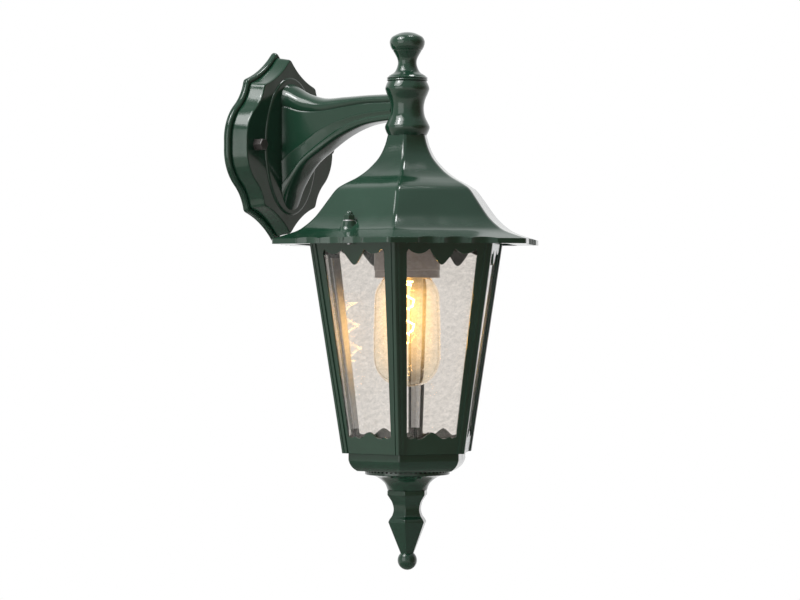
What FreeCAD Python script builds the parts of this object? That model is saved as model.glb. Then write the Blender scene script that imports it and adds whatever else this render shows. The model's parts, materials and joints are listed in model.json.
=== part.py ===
import FreeCAD, Part
import math
import os

# Wall lantern: a scalloped cast wall plate carries a horn-shaped arm, a turned spindle with a finial, and a
# six-sided roof; a tapered glazed cage hangs under the roof on two studs and ends in a turned pendant.
# Millimetres.  Origin: middle of the two wall screws, on the wall.  +Z up, the lantern stands out along -Y.
# Heights of the pieces round the lantern's own axis are row heights; they are made round Z and then moved out.

V = FreeCAD.Vector
UP = V(0, 0, 1)
OUT = V(0, -1, 0)

# ---- where the lantern's axis is ----
AXIS_OUT = 157.0            # from the wall

# ---- wall plate, behind the arm ----
PLATE_HALF_H = 81.0         # front face, to its top point
PLATE_HALF_W = 62.4         # front face, to its side
PLATE_CUSP_X = 37.2
PLATE_CUSP_Z = 55.3
PLATE_DEPTH = 23.0          # wall to front face
PLATE_WALL = 3.0
PLATE_DRAFT = 2.5           # the body's foot is this much larger all round
RIM_GROW = 7.5              # the rim is this much larger than the front face
RIM_THICK = 3.0
MOULDING_GROW = 5.0
MOULDING_TOP = 6.5          # wall to the step's face
GASKET_THICK = 1.5
GASKET_INSET = 3.0
PAD_HALF_W = 33.0           # raised oval that the arm stands on
PAD_HALF_H = 61.5
PAD_RISE = 1.5

# ---- fixing strap, bolts and wiring in the plate ----
STRAP_HALF_L = 56.0
STRAP_HALF_W = 13.0
STRAP_THICK = 2.5
WALL_SCREW_SPACING = 64.0
WALL_SLOT_R = 2.75
WALL_SLOT_LENGTH = 12.0
BOLT_X = 49.5
BOLT_R = 2.5
BOLT_FLATS = 10.0
BOLT_HEAD = 9.5
BOLT_CHAMFER = 0.9
BOLT_END_Y = -1.0           # the bolts stop this short of the wall
COLLAR_R = 4.6
COLLAR_LENGTH = 5.0
INLET_R = 4.0
GROMMET_NECK_R = 6.0
GROMMET_LIP_R = 8.0
GROMMET_LIP = 2.0
EARTH_X = -17.0
EARTH_R = 2.0
EARTH_HEAD_R = 3.6
EARTH_HEAD = 2.4
EARTH_SLOT = 0.9
SCREW_END_GAP = 0.2         # between the screw's end and the wall
TERMINAL_W = 24.0
TERMINAL_D = 9.0
TERMINAL_H = 15.0
TERMINAL_Z = -38.0
TERMINAL_SCREW_R = 1.8
FIT = 0.05                  # radial room of a screw or tube in its hole

# ---- arm: one station per row, all in mm from the lantern's axis towards the wall ----
# (distance, top, underside of the top bead, crease, top of the lower roll, half width, half width at the roll,
# depth of the roll)
ARM_STATIONS = [
    (126.0, 54.6, 35.4, -8.0, -27.0, 14.6, 13.8, 13.5),
    (112.0, 47.6, 32.0, 1.0, -13.0, 13.6, 13.0, 6.6),
    (92.0, 42.8, 31.4, 12.6, 0.8, 12.6, 12.0, 6.4),
    (68.0, 43.2, 34.0, 21.4, 14.0, 11.6, 11.0, 6.3),
    (42.0, 43.9, 36.6, 26.6, 21.6, 10.8, 10.2, 5.0),
]
ARM_FOOT = (57.7, 37.0, -13.4, -35.0, 15.8, 14.8, 23.3)
ARM_TIP = (43.9, 36.8, 28.6, 24.0, 10.2, 9.7, 4.1)
ROLL_FULLNESS = 0.72        # how far the roll's middle stands out and down, as a share
ROLL_FOOT_FULLNESS = 0.54   # near a straight slope: the foot ends in a point
CHANNEL_R = 4.0             # lead channel through the arm
CHANNEL_FOOT_Z = 8.0
CHANNEL_TIP_Z = 33.0
ARM_SCREW_Z = (30.0, -22.0)
ARM_SCREW_R = 2.5
ARM_SCREW_HEAD_R = 4.5
ARM_SCREW_HEAD = 3.5
ARM_SCREW_GRIP = 12.0       # length inside the arm

# ---- spindle, finial and their tube ----
ROOF_TOP = 6.2              # height of the roof's top, under the spindle
SPINDLE_H = 48.5
SPINDLE_R = 20.1            # widest
SPINDLE_BORE_R = 9.0
SPINDLE_WEB = 10.0
FINIAL_H = 44.0
FINIAL_R = 18.3             # foot
FINIAL_SPIGOT = 6.0
TUBE_R = 5.0                # M10 x 1 threaded tube
TUBE_BORE_R = 3.6
TUBE_ABOVE_WEB = 6.0
TUBE_NUT_FLATS = 17.0
TUBE_NUT = 5.0
TUBE_WASHER_R = 10.5
TUBE_WASHER = 1.5
LEAD_R = 1.8
LEAD_TURN = 4.0             # the lead leaves its channel this far before the axis
LEAD_BENDS = [8.0, 4.5, 4.5]

# ---- roof ----
ROOF_H = 97.6               # top to the bottom of the rim
ROOF_NECK_R = 19.3          # hexagons are given by the distance to their corners
EAVE_R = 129.5
RIM_H = 4.5
ROOF_WALL = 3.0
ROOF_TOP_WALL = 5.0
EAVE_WALL = 18.0            # flat underside of the rim, where the scallops bite
SCALLOPS = 3
SCALLOP_WIDTH = 25.4
SCALLOP_DEPTH = 3.4
STUD_OUT = 84.0             # cage studs from the lantern's axis
BOSS_R = 6.6
BOSS_TOP = 77.9             # under the roof's top
BOSS_FLARE_R = 14.0         # foot of the flare that blends the boss into the roof
BOSS_FLARE = 11.0
SPOTFACE_R = 6.3

# ---- lampholder and lamp ----
COVER_R = 29.0
COVER_TOP = 66.2            # under the roof's top
COVER_H = 60.7
COVER_WALL = 2.0
INSULATOR_R = 24.0
INSULATOR_H = 50.0
INSULATOR_RECESS_R = 11.0
INSULATOR_RECESS = 14.0
HOLDER_SCREW_X = 17.0
HOLDER_SCREW_R = 1.8
HOLDER_SCREW_HEAD_R = 3.4
HOLDER_SCREW_HEAD = 2.2
HOLDER_SCREW_LENGTH = 12.0
CAP_R = 13.2                # screw cap, E27
CAP_H = 24.0
CAP_TIP = 3.0
CAP_WALL = 0.6
CAP_ROOF = 1.5
CAP_TIP_INSET = 3.0
SHELL_GAP = 0.3             # cap to screw shell
SHELL_WALL = 0.5
SHELL_H = 24.0
CONTACT_R = 4.5
CONTACT_THICK = 1.2
LAMP_R = 29.5
LAMP_LENGTH = 136.0         # cap's foot to the end of the glass
LAMP_WALL = 1.0
LAMP_NECK = 4.0             # glass inside the cap
LAMP_NECK_ROOM = 0.7        # glass to the cap's outside
LAMP_SHOULDERS = [(7.0, 0.2), (15.0, 0.612), (24.0, 0.894), (36.0, 0.953)]   # under the cap, share of the spread
LAMP_END = [(34.0, 1.0), (18.0, 0.946), (7.0, 0.722), (1.4, 0.39), (0.0, 0.0)]   # over the foot, share of LAMP_R
STEM_R = 6.0
STEM_TIP_R = 1.6
STEM_H = 72.0
FILAMENT_R = 7.5
FILAMENT_PITCH = 22.0
FILAMENT_TURNS = 2.5
FILAMENT_CORNERS = 4        # of the wire in one turn
FILAMENT_TOP = 15.0         # under the cap
FILAMENT_WIRE_R = 0.6

# ---- cage ----
CAGE_TOP = 94.9             # under the roof's top
CAGE_H = 187.8
CAGE_TOP_R = 94.0
CAGE_FOOT_R = 62.8
CAGE_WALL = 3.0
PANEL_RECESS = 1.2
CORNER_STRIP = 6.0
GROOVE_WIDTH = 1.2
GROOVE_DEPTH = 0.7
RAIL_TOP = 7.6              # cage's top to the window's peaks
RAIL_FOOT = 14.0            # cage's foot to the window's sill
STILE_TOP = 12.6            # corner to the window, at the top
STILE_FOOT = 8.8
CREST_DROP = 14.0           # middle lobe of the window's head
CREST_SAG = 4.3
SILL_HUMP = 5.4
SILL_CUSP = 1.4
LUG_R = 6.0
LUG_THICK = 3.5
STUD_R = 2.0
STUD_ROOM = 0.4             # stud to the roof's hole
NUT_ROOM = 0.08             # stud to the cap nut's bore
NUT_FLATS = 9.0
NUT_HEX = 4.6
NUT_H = 8.2
NUT_DOME_R = 3.3
NUT_CHAMFER = 0.5
NUT_WALL = 1.2              # dome over the blind bore
NUT_WASHER_R = 5.6
NUT_WASHER = 0.9
FLOOR_THICK = 3.5
FLOOR_UP = 3.0              # floor's underside over the cage's foot
VENT_R = 4.0
VENT_OUT = 30.0
GLASS_THICK = 3.0
GLASS_LAP = 4.0             # glass behind the frame, each side
RETAINER_THICK = 1.0
RETAINER_LAP = 2.6          # retainer over the glass
RETAINER_END = 6.0

# ---- bowl, vent ring, cup and pendant ----
BOWL_R = 56.8
BOWL_H = 16.0
BOWL_FOOT_R = 48.6
BOWL_WALL = 3.0
VENT_RING_R = 37.9
VENT_RING_BORE = 24.0
VENT_RING_H = 3.8
VENT_SLOTS = 54
VENT_SLOT_WIDTH = 2.2
VENT_SLOT_DEPTH = 1.5
CUP_R = 34.0
CUP_FOOT_R = 17.7
CUP_H = 14.2
CUP_BORE_R = 27.0
CUP_BORE_H = 8.0
PENDANT_H = 71.2
PENDANT_R = 18.5            # corners of the widest hexagon
PENDANT_TOP_R = 19.3
PENDANT_BALL_R = 8.7
TIE_R = 3.0
TIE_GRIP = 14.0             # tie screw in the pendant
TIE_HEAD_FLATS = 10.0
TIE_HEAD = 4.0
TIE_WASHER_R = 9.0
TIE_WASHER = 1.2

COS30 = math.cos(math.radians(30))

# ---- heights and places that follow ----
ROOF_RIM_FOOT = ROOF_TOP - ROOF_H
SPINDLE_TOP = ROOF_TOP + SPINDLE_H
CAGE_TOP_Z = ROOF_TOP - CAGE_TOP
CAGE_FOOT_Z = CAGE_TOP_Z - CAGE_H
BOSS_TOP_Z = ROOF_TOP - BOSS_TOP
COVER_TOP_Z = ROOF_TOP - COVER_TOP
COVER_FOOT_Z = COVER_TOP_Z - COVER_H
BOWL_FOOT_Z = CAGE_FOOT_Z - BOWL_H
RING_FOOT_Z = BOWL_FOOT_Z - VENT_RING_H
CUP_FOOT_Z = RING_FOOT_Z - CUP_H
FLOOR_TOP_Z = CAGE_FOOT_Z + FLOOR_UP + FLOOR_THICK
FRONT_Y = -PLATE_DEPTH
PAD_Y = FRONT_Y - PAD_RISE
INSULATOR_TOP_Z = COVER_TOP_Z - COVER_WALL
INSULATOR_FOOT_Z = INSULATOR_TOP_Z - INSULATOR_H
CAP_TOP_Z = INSULATOR_TOP_Z - INSULATOR_RECESS - 6.0
CAP_FOOT_Z = CAP_TOP_Z - CAP_TIP - CAP_H
LAMP_FOOT_Z = CAP_TOP_Z - LAMP_LENGTH
SHELL_R = CAP_R + SHELL_GAP


# ---- helpers ----
def outward(shape):
    """Moves a shape made round Z out to the lantern's axis."""
    moved = shape.copy()
    moved.translate(V(0, -AXIS_OUT, 0))
    return moved


def cylinder(radius, low, high, x=0.0, y=0.0):
    return Part.makeCylinder(radius, high - low, V(x, y, low), UP)


def along_out(radius, start_y, end_y, x=0.0, z=0.0):
    """A round bar from start_y out to end_y."""
    return Part.makeCylinder(radius, start_y - end_y, V(x, start_y, z), OUT)


def run_edge(points):
    """One smooth edge through points; two points give a line."""
    if len(points) == 2:
        return Part.makeLine(points[0], points[1])
    curve = Part.BSplineCurve()
    curve.interpolate(points)
    return curve.toShape()


def turned(runs):
    """A solid turned round Z from runs of (height, radius)."""
    edges = [run_edge([V(r, 0, z) for z, r in run]) for run in runs]
    first = runs[0][0]
    last = runs[-1][-1]
    if first[1] > 0:
        edges.insert(0, Part.makeLine(V(0, 0, first[0]), V(first[1], 0, first[0])))
    if last[1] > 0:
        edges.append(Part.makeLine(V(last[1], 0, last[0]), V(0, 0, last[0])))
    edges.append(Part.makeLine(V(0, 0, last[0]), V(0, 0, first[0])))
    face = Part.Face(Part.Wire(Part.__sortEdges__(edges)))
    return face.revolve(V(0, 0, 0), UP, 360)


def hex_point(radius, z, k):
    """Corner k of a hexagon whose corners point at and away from the wall."""
    angle = math.radians(30 + 60 * k)
    return V(radius * math.cos(angle), radius * math.sin(angle), z)


def hexagonal(runs):
    """A six-sided solid from runs of (height, corner radius); every side is level from ridge to ridge."""
    faces = []
    for run in runs:
        ridges = [run_edge([hex_point(r, z, k) for z, r in run]) for k in range(6)]
        for k in range(6):
            faces.append(Part.makeRuledSurface(ridges[k], ridges[(k + 1) % 6]))
    for z, radius in (runs[0][0], runs[-1][-1]):
        corners = [hex_point(radius, z, k) for k in range(7)]
        faces.append(Part.Face(Part.makePolygon(corners)))
    shell = Part.makeShell(faces)
    shell.sewShape()
    solid = Part.makeSolid(shell)
    outside = V(0, 0, runs[0][0][0] + 1000.0)
    if solid.isInside(outside, 0.01, False):
        solid.reverse()
    return solid


def hex_bar(flats, low, high, x=0.0, y=0.0):
    radius = flats / 2 / COS30
    corners = [hex_point(radius, low, k) + V(x, y, 0) for k in range(7)]
    return Part.Face(Part.makePolygon(corners)).extrude(V(0, 0, high - low))


def shaped(fractions, top, height, radius):
    """Runs of (share of height from the top, share of radius) as (height, radius)."""
    return [[(top - t * height, s * radius) for t, s in run] for run in fractions]


def ring(outer, inner, low, high, x=0.0, y=0.0):
    return cylinder(outer, low, high, x, y).cut(cylinder(inner, low - 1, high + 1, x, y))


# ---- wall plate ----
def plate_wire(grow, y):
    """The plate's outline, larger by grow: a concave arc from each point to a cusp, then an ogee to the side."""
    top = (0.0, PLATE_HALF_H + grow)
    cusp = (PLATE_CUSP_X + 0.68 * grow, PLATE_CUSP_Z + 0.68 * grow)
    shoulder = (0.82 * PLATE_HALF_W + 0.75 * grow, 0.4 * PLATE_HALF_H + 0.45 * grow)
    side = (PLATE_HALF_W + grow, 0.0)
    concave = (0.45 * cusp[0], (top[1] + cusp[1]) / 2 - 0.04 * PLATE_HALF_H)
    hollow = (cusp[0] + 0.36 * (shoulder[0] - cusp[0]), cusp[1] + 0.56 * (shoulder[1] - cusp[1]))
    bulge = (shoulder[0] + 0.8 * (side[0] - shoulder[0]), 0.57 * shoulder[1])
    quarter = [(top, concave, cusp), (cusp, hollow, shoulder), (shoulder, bulge, side)]
    edges = []
    for sx in (1, -1):
        for sz in (1, -1):
            for arc in quarter:
                a, b, c = [V(sx * p[0], y, sz * p[1]) for p in arc]
                edges.append(Part.Arc(a, b, c).toShape())
    return Part.Wire(Part.__sortEdges__(edges))


def plate_slab(grow, start_y, end_y):
    return Part.Face(plate_wire(grow, start_y)).extrude(V(0, end_y - start_y, 0))


def oval(y, rise, half_w, half_h):
    ellipse = Part.Ellipse(V(0, y, half_h), V(half_w, y, 0), V(0, y, 0))
    return Part.Face(Part.Wire(ellipse.toShape())).extrude(V(0, -rise, 0))


def wall_plate():
    back = -GASKET_THICK
    rim = plate_slab(RIM_GROW, back, back - RIM_THICK)
    moulding = plate_slab(MOULDING_GROW, back, -MOULDING_TOP)
    body = Part.makeLoft([plate_wire(PLATE_DRAFT, back), plate_wire(0, FRONT_Y)], True, True)
    hollow_front = FRONT_Y + PLATE_WALL
    hollow = Part.makeLoft([plate_wire(PLATE_DRAFT - PLATE_WALL, back + 1), plate_wire(-PLATE_WALL, hollow_front)],
                           True, True)
    plate = rim.fuse([moulding, body, oval(FRONT_Y, PAD_RISE, PAD_HALF_W, PAD_HALF_H)]).cut(hollow)
    holes = [along_out(BOLT_R + FIT, 0, FRONT_Y - 5, sx * BOLT_X) for sx in (1, -1)]
    holes += [along_out(ARM_SCREW_R + FIT, 0, PAD_Y - 1, 0, z) for z in ARM_SCREW_Z]
    holes.append(channel(CHANNEL_R))
    return plate.cut(holes).removeSplitter()


def plate_gasket():
    outer = plate_slab(RIM_GROW - GASKET_INSET, 0, -GASKET_THICK)
    return outer.cut(plate_slab(PLATE_DRAFT - PLATE_WALL, 1, -GASKET_THICK - 1))


def fixing_strap():
    bar = Part.makeBox(2 * STRAP_HALF_L, STRAP_THICK, 2 * STRAP_HALF_W,
                       V(-STRAP_HALF_L, -STRAP_THICK, -STRAP_HALF_W))
    corners = [e for e in bar.Edges if abs(e.tangentAt(e.FirstParameter).y) > 0.9]
    bar = bar.makeFillet(STRAP_HALF_W / 3, corners)
    collars = [along_out(COLLAR_R, -STRAP_THICK, -STRAP_THICK - COLLAR_LENGTH, sx * BOLT_X) for sx in (1, -1)]
    holes = [along_out(BOLT_R + FIT, 1, -STRAP_THICK - COLLAR_LENGTH - 1, sx * BOLT_X) for sx in (1, -1)]
    holes.append(along_out(GROMMET_NECK_R, 1, -STRAP_THICK - 1))
    holes.append(along_out(EARTH_R + FIT, 1, -STRAP_THICK - 1, EARTH_X))
    reach = WALL_SLOT_LENGTH / 2 - WALL_SLOT_R
    for sx in (1, -1):
        middle = sx * WALL_SCREW_SPACING / 2
        holes += [along_out(WALL_SLOT_R, 1, -STRAP_THICK - 1, middle + dx) for dx in (reach, -reach)]
        holes.append(Part.makeBox(2 * reach, STRAP_THICK + 2, 2 * WALL_SLOT_R,
                                  V(middle - reach, -STRAP_THICK - 1, -WALL_SLOT_R)))
    return bar.fuse(collars).cut(holes)


def cable_grommet():
    neck = along_out(GROMMET_NECK_R, 0, -STRAP_THICK)
    lip = along_out(GROMMET_LIP_R, -STRAP_THICK, -STRAP_THICK - GROMMET_LIP)
    return neck.fuse(lip).cut(along_out(INLET_R, 1, -STRAP_THICK - GROMMET_LIP - 1))


def earth_screw():
    head = along_out(EARTH_HEAD_R, -STRAP_THICK, -STRAP_THICK - EARTH_HEAD, EARTH_X)
    face_y = -STRAP_THICK - EARTH_HEAD
    slot = Part.makeBox(2 * EARTH_HEAD_R, 2 * EARTH_SLOT, EARTH_SLOT,
                        V(EARTH_X - EARTH_HEAD_R, face_y - EARTH_SLOT, -EARTH_SLOT / 2))
    return head.cut(slot).fuse(along_out(EARTH_R, -SCREW_END_GAP, -STRAP_THICK, EARTH_X))


def bolt_head():
    """Tall hexagon head round Z with its outer corners chamfered."""
    corner = BOLT_FLATS / 2 / COS30
    cone = Part.makeCone(corner + BOLT_HEAD - BOLT_CHAMFER, corner - BOLT_CHAMFER, BOLT_HEAD)
    return hex_bar(BOLT_FLATS, 0, BOLT_HEAD).common(cone)


def plate_bolts():
    bolts = []
    for sx in (1, -1):
        head = bolt_head()
        head.rotate(V(0, 0, 0), V(1, 0, 0), 90)
        head.translate(V(sx * BOLT_X, FRONT_Y, 0))
        bolts.append(head.fuse(along_out(BOLT_R, BOLT_END_Y, FRONT_Y, sx * BOLT_X)))
    return Part.makeCompound(bolts)


def terminal_block():
    front = FRONT_Y + PLATE_WALL
    block = Part.makeBox(TERMINAL_W, TERMINAL_D, TERMINAL_H,
                         V(-TERMINAL_W / 2, front, TERMINAL_Z - TERMINAL_H / 2))
    return block.cut(terminal_screw_places(TERMINAL_SCREW_R + FIT))


def terminal_screw_places(radius):
    """Three screws across the block, from its back."""
    back = FRONT_Y + PLATE_WALL + TERMINAL_D
    step = TERMINAL_W / 3
    return [along_out(radius, back, back - TERMINAL_D / 2, i * step, TERMINAL_Z) for i in (-1, 0, 1)]


def terminal_screws():
    return Part.makeCompound(terminal_screw_places(TERMINAL_SCREW_R))


# ---- arm ----
def arm_wire(distance, top, bead, crease, low, half, half_low, depth, fullness=ROLL_FULLNESS):
    """Section of the arm at one distance: round top bead, flat sides to a crease, and a roll below."""
    y = -AXIS_OUT + distance

    def at(x, z):
        return V(x, y, z)

    edges = [Part.Arc(at(-half, bead), at(0, top), at(half, bead)).toShape()]
    for side in (1, -1):
        middle = at(side * fullness * half_low, low - fullness * depth)
        run = [Part.makeLine(at(side * half, bead), at(side * half, crease)),
               Part.makeLine(at(side * half, crease), at(side * half_low, low)),
               Part.Arc(at(side * half_low, low), middle, at(0, low - depth)).toShape()]
        edges += run if side > 0 else reversed(run)
    return Part.Wire(edges)


def channel(radius):
    """The straight way for the lead from the plate's hollow into the spindle's bore."""
    start = V(0, FRONT_Y + PLATE_WALL + 1, CHANNEL_FOOT_Z)
    end = V(0, -AXIS_OUT, CHANNEL_TIP_Z)
    return Part.makeCylinder(radius, (end - start).Length, start, end - start)


def arm():
    foot = AXIS_OUT + PAD_Y
    wires = [arm_wire(foot, *ARM_FOOT, ROLL_FOOT_FULLNESS)]
    wires += [arm_wire(*station) for station in ARM_STATIONS]
    wires.append(arm_wire(SPINDLE_BORE_R, *ARM_TIP))
    horn = Part.makeLoft(wires, True, False)
    holes = [along_out(ARM_SCREW_R + FIT, PAD_Y + 1, PAD_Y - ARM_SCREW_GRIP, 0, z) for z in ARM_SCREW_Z]
    holes += [channel(CHANNEL_R), outward(spindle_outside())]
    return horn.cut(holes)


def arm_screws():
    seat = FRONT_Y + PLATE_WALL
    screws = []
    for z in ARM_SCREW_Z:
        shank = along_out(ARM_SCREW_R, seat, PAD_Y - ARM_SCREW_GRIP + 1, 0, z)
        screws.append(along_out(ARM_SCREW_HEAD_R, seat + ARM_SCREW_HEAD, seat, 0, z).fuse(shank))
    return Part.makeCompound(screws)


# ---- spindle, finial, threaded tube ----
SPINDLE_SHAPE = [[(0.0, 0.86), (0.07, 0.94), (0.14, 0.985), (0.22, 0.925), (0.355, 0.79), (0.5, 0.737),
                  (0.645, 0.785), (0.77, 0.925), (0.85, 1.0), (0.93, 0.945), (1.0, 0.86)]]
FINIAL_SHAPE = [[(0.0, 0.0), (0.033, 0.43), (0.093, 0.715), (0.15, 0.82), (0.214, 0.86), (0.295, 0.822),
                 (0.372, 0.715), (0.459, 0.592), (0.539, 0.494), (0.62, 0.455), (0.702, 0.488), (0.782, 0.568),
                 (0.864, 0.79), (0.888, 0.88), (0.945, 1.0)],
                [(0.945, 1.0), (1.0, 0.985)]]


def spindle_outside():
    return turned(shaped(SPINDLE_SHAPE, SPINDLE_TOP, SPINDLE_H, SPINDLE_R))


def spindle():
    bore = cylinder(SPINDLE_BORE_R, ROOF_TOP + SPINDLE_WEB, SPINDLE_TOP + 1)
    tube_hole = cylinder(TUBE_R + FIT, ROOF_TOP - 1, ROOF_TOP + SPINDLE_WEB + 1)
    return outward(spindle_outside().cut([bore, tube_hole])).cut(channel(CHANNEL_R))


def finial():
    knob = turned(shaped(FINIAL_SHAPE, SPINDLE_TOP + FINIAL_H, FINIAL_H, FINIAL_R))
    return outward(knob.fuse(cylinder(SPINDLE_BORE_R - FIT, SPINDLE_TOP - FINIAL_SPIGOT, SPINDLE_TOP)))


def threaded_tube():
    high = ROOF_TOP + SPINDLE_WEB + TUBE_ABOVE_WEB
    low = INSULATOR_TOP_Z - TUBE_NUT - 2
    return outward(ring(TUBE_R, TUBE_BORE_R, low, high))


def tube_nut(low):
    return hex_bar(TUBE_NUT_FLATS, low, low + TUBE_NUT).cut(cylinder(TUBE_R + FIT, low - 1, low + TUBE_NUT + 1))


def tube_nuts():
    """One over the spindle's web, one under the roof, and one each side of the lampholder cover's top."""
    under_roof = ROOF_TOP - ROOF_TOP_WALL - TUBE_WASHER - TUBE_NUT
    lows = [under_roof, COVER_TOP_Z, INSULATOR_TOP_Z - TUBE_NUT]
    return outward(Part.makeCompound([tube_nut(low) for low in lows]))


def roof_washer():
    high = ROOF_TOP - ROOF_TOP_WALL
    return outward(ring(TUBE_WASHER_R, TUBE_R + FIT, high - TUBE_WASHER, high))


def lamp_lead():
    """Sleeved two-core lead: up the plate's hollow, through the arm, round in the spindle and down the tube."""
    slope = (CHANNEL_TIP_Z - CHANNEL_FOOT_Z) / (AXIS_OUT + FRONT_Y + PLATE_WALL + 1)
    plate_y = FRONT_Y + PLATE_WALL + TERMINAL_D / 2 + 2
    channel_z = CHANNEL_FOOT_Z + slope * (FRONT_Y + PLATE_WALL + 1 - plate_y)
    turn_y = -AXIS_OUT + LEAD_TURN
    turn_z = CHANNEL_TIP_Z - slope * LEAD_TURN
    route = [V(0, plate_y, TERMINAL_Z + TERMINAL_H / 2),
             V(0, plate_y, channel_z),
             V(0, turn_y, turn_z),
             V(0, -AXIS_OUT, turn_z - LEAD_TURN),
             V(0, -AXIS_OUT, INSULATOR_TOP_Z - INSULATOR_RECESS)]
    radii = LEAD_BENDS
    return rounded_tube(route, radii, LEAD_R)


def rounded_tube(route, radii, tube_r):
    """A tube along straight runs joined by tangent arcs."""
    edges = []
    start = route[0]
    for i, bend in enumerate(radii):
        corner = route[i + 1]
        before = (corner - route[i]).normalize()
        after = (route[i + 2] - corner).normalize()
        turn = before.getAngle(after)
        back = bend * math.tan(turn / 2)
        arc_in = corner - before * back
        arc_out = corner + after * back
        inward = (after - before).normalize()
        middle = corner + inward * (bend / math.cos(turn / 2) - bend)
        edges.append(Part.makeLine(start, arc_in))
        edges.append(Part.Arc(arc_in, middle, arc_out).toShape())
        start = arc_out
    edges.append(Part.makeLine(start, route[-1]))
    path = Part.Wire(edges)
    first = (route[1] - route[0]).normalize()
    disc = Part.Wire(Part.makeCircle(tube_r, route[0], first))
    return path.makePipeShell([disc], True, True)


# ---- roof ----
# share of the drop from neck to eave, share of the spread from neck to eave
ROOF_CURVE = [(0.0, 0.0), (0.105, 0.027), (0.22, 0.08), (0.33, 0.172), (0.4, 0.256), (0.44, 0.322), (0.48, 0.39),
              (0.525, 0.448), (0.61, 0.508), (0.725, 0.584), (0.8, 0.64), (0.875, 0.718), (0.93, 0.802)]


def roof_curve():
    """The roof's ogee down to the eave, as (height, corner radius)."""
    drop = ROOF_H - RIM_H
    spread = EAVE_R - ROOF_NECK_R
    return [(ROOF_TOP - t * drop, ROOF_NECK_R + s * spread) for t, s in ROOF_CURVE]


def roof_outside():
    eave = (ROOF_TOP - ROOF_H + RIM_H, EAVE_R)
    return hexagonal([roof_curve() + [eave], [eave, (ROOF_RIM_FOOT, EAVE_R)]])


def roof_inside():
    """The hollow: the same curve, further in and lower by the wall, and open at the rim's foot."""
    drop = ROOF_H - RIM_H
    inset = ROOF_WALL / COS30
    top = ROOF_TOP - ROOF_TOP_WALL
    points = [(z - 0.8 * ROOF_WALL, r - inset) for z, r in roof_curve() if z - 0.8 * ROOF_WALL < top - 2]
    points.insert(0, (top, ROOF_NECK_R - inset))
    eave_r = EAVE_R - EAVE_WALL / COS30
    points.append((ROOF_TOP - drop - 0.35 * ROOF_WALL, eave_r))
    return hexagonal([points, [points[-1], (ROOF_RIM_FOOT - 1, eave_r)]])


def scallop_cutters():
    """Upright cylinders that bite the middle of each eave edge."""
    flat = EAVE_R * COS30
    radius = (SCALLOP_WIDTH ** 2 / 4 + SCALLOP_DEPTH ** 2) / (2 * SCALLOP_DEPTH)
    centre = flat - SCALLOP_DEPTH + radius
    cutters = []
    for face in range(6):
        angle = 60.0 * face
        for i in range(SCALLOPS):
            across = (i - (SCALLOPS - 1) / 2) * SCALLOP_WIDTH
            bite = cylinder(radius, ROOF_RIM_FOOT - 1, ROOF_RIM_FOOT + RIM_H + 12, centre, across)
            bite.rotate(V(0, 0, 0), UP, angle)
            cutters.append(bite)
    return cutters


def boss_flare(side):
    """Concave skirt from a boss down to the roof's skin."""
    foot = BOSS_TOP_Z - BOSS_FLARE
    skirt = turned([[(BOSS_TOP_Z, BOSS_R), (BOSS_TOP_Z - 0.4 * BOSS_FLARE, BOSS_R + 0.12 * (BOSS_FLARE_R - BOSS_R)),
                     (BOSS_TOP_Z - 0.75 * BOSS_FLARE, BOSS_R + 0.42 * (BOSS_FLARE_R - BOSS_R)),
                     (foot, BOSS_FLARE_R)]])
    skirt.translate(V(side * STUD_OUT, 0, 0))
    return skirt


def roof():
    bosses = [cylinder(BOSS_R, CAGE_TOP_Z, BOSS_TOP_Z, sx * STUD_OUT) for sx in (1, -1)]
    skirts = [boss_flare(sx) for sx in (1, -1)]
    shell = roof_outside().fuse(skirts).cut(roof_inside()).cut(scallop_cutters()).fuse(bosses)
    cuts = [cylinder(TUBE_R + FIT, ROOF_TOP - 20, ROOF_TOP + 1)]
    for sx in (1, -1):
        cuts.append(cylinder(SPOTFACE_R, BOSS_TOP_Z, BOSS_TOP_Z + 15, sx * STUD_OUT))
        cuts.append(cylinder(STUD_R + STUD_ROOM, CAGE_TOP_Z - 1, BOSS_TOP_Z + 1, sx * STUD_OUT))
    return outward(shell.cut(cuts))


def nut_washers():
    rings = [ring(NUT_WASHER_R, STUD_R + STUD_ROOM, BOSS_TOP_Z, BOSS_TOP_Z + NUT_WASHER, sx * STUD_OUT)
             for sx in (1, -1)]
    return outward(Part.makeCompound(rings))


def cap_nut(side):
    """Domed nut on one cage stud; side is -1 left or 1 right."""
    low = BOSS_TOP_Z + NUT_WASHER
    hexagon = hex_bar(NUT_FLATS, low, low + NUT_HEX)
    corner = NUT_FLATS / 2 / COS30
    cone = Part.makeCone(corner + NUT_HEX - NUT_CHAMFER, corner - NUT_CHAMFER, NUT_HEX, V(0, 0, low), UP)
    dome_z = low + NUT_H - NUT_DOME_R
    dome = cylinder(NUT_DOME_R, low + NUT_HEX / 2, dome_z).fuse(Part.makeSphere(NUT_DOME_R, V(0, 0, dome_z)))
    nut = hexagon.common(cone).fuse(dome.common(cylinder(NUT_FLATS, low + NUT_HEX / 2, low + NUT_H + 1)))
    nut = nut.cut(cylinder(STUD_R + NUT_ROOM, low - 1, low + NUT_H - NUT_WALL))
    nut.translate(V(side * STUD_OUT, 0, 0))
    return outward(nut)


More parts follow.
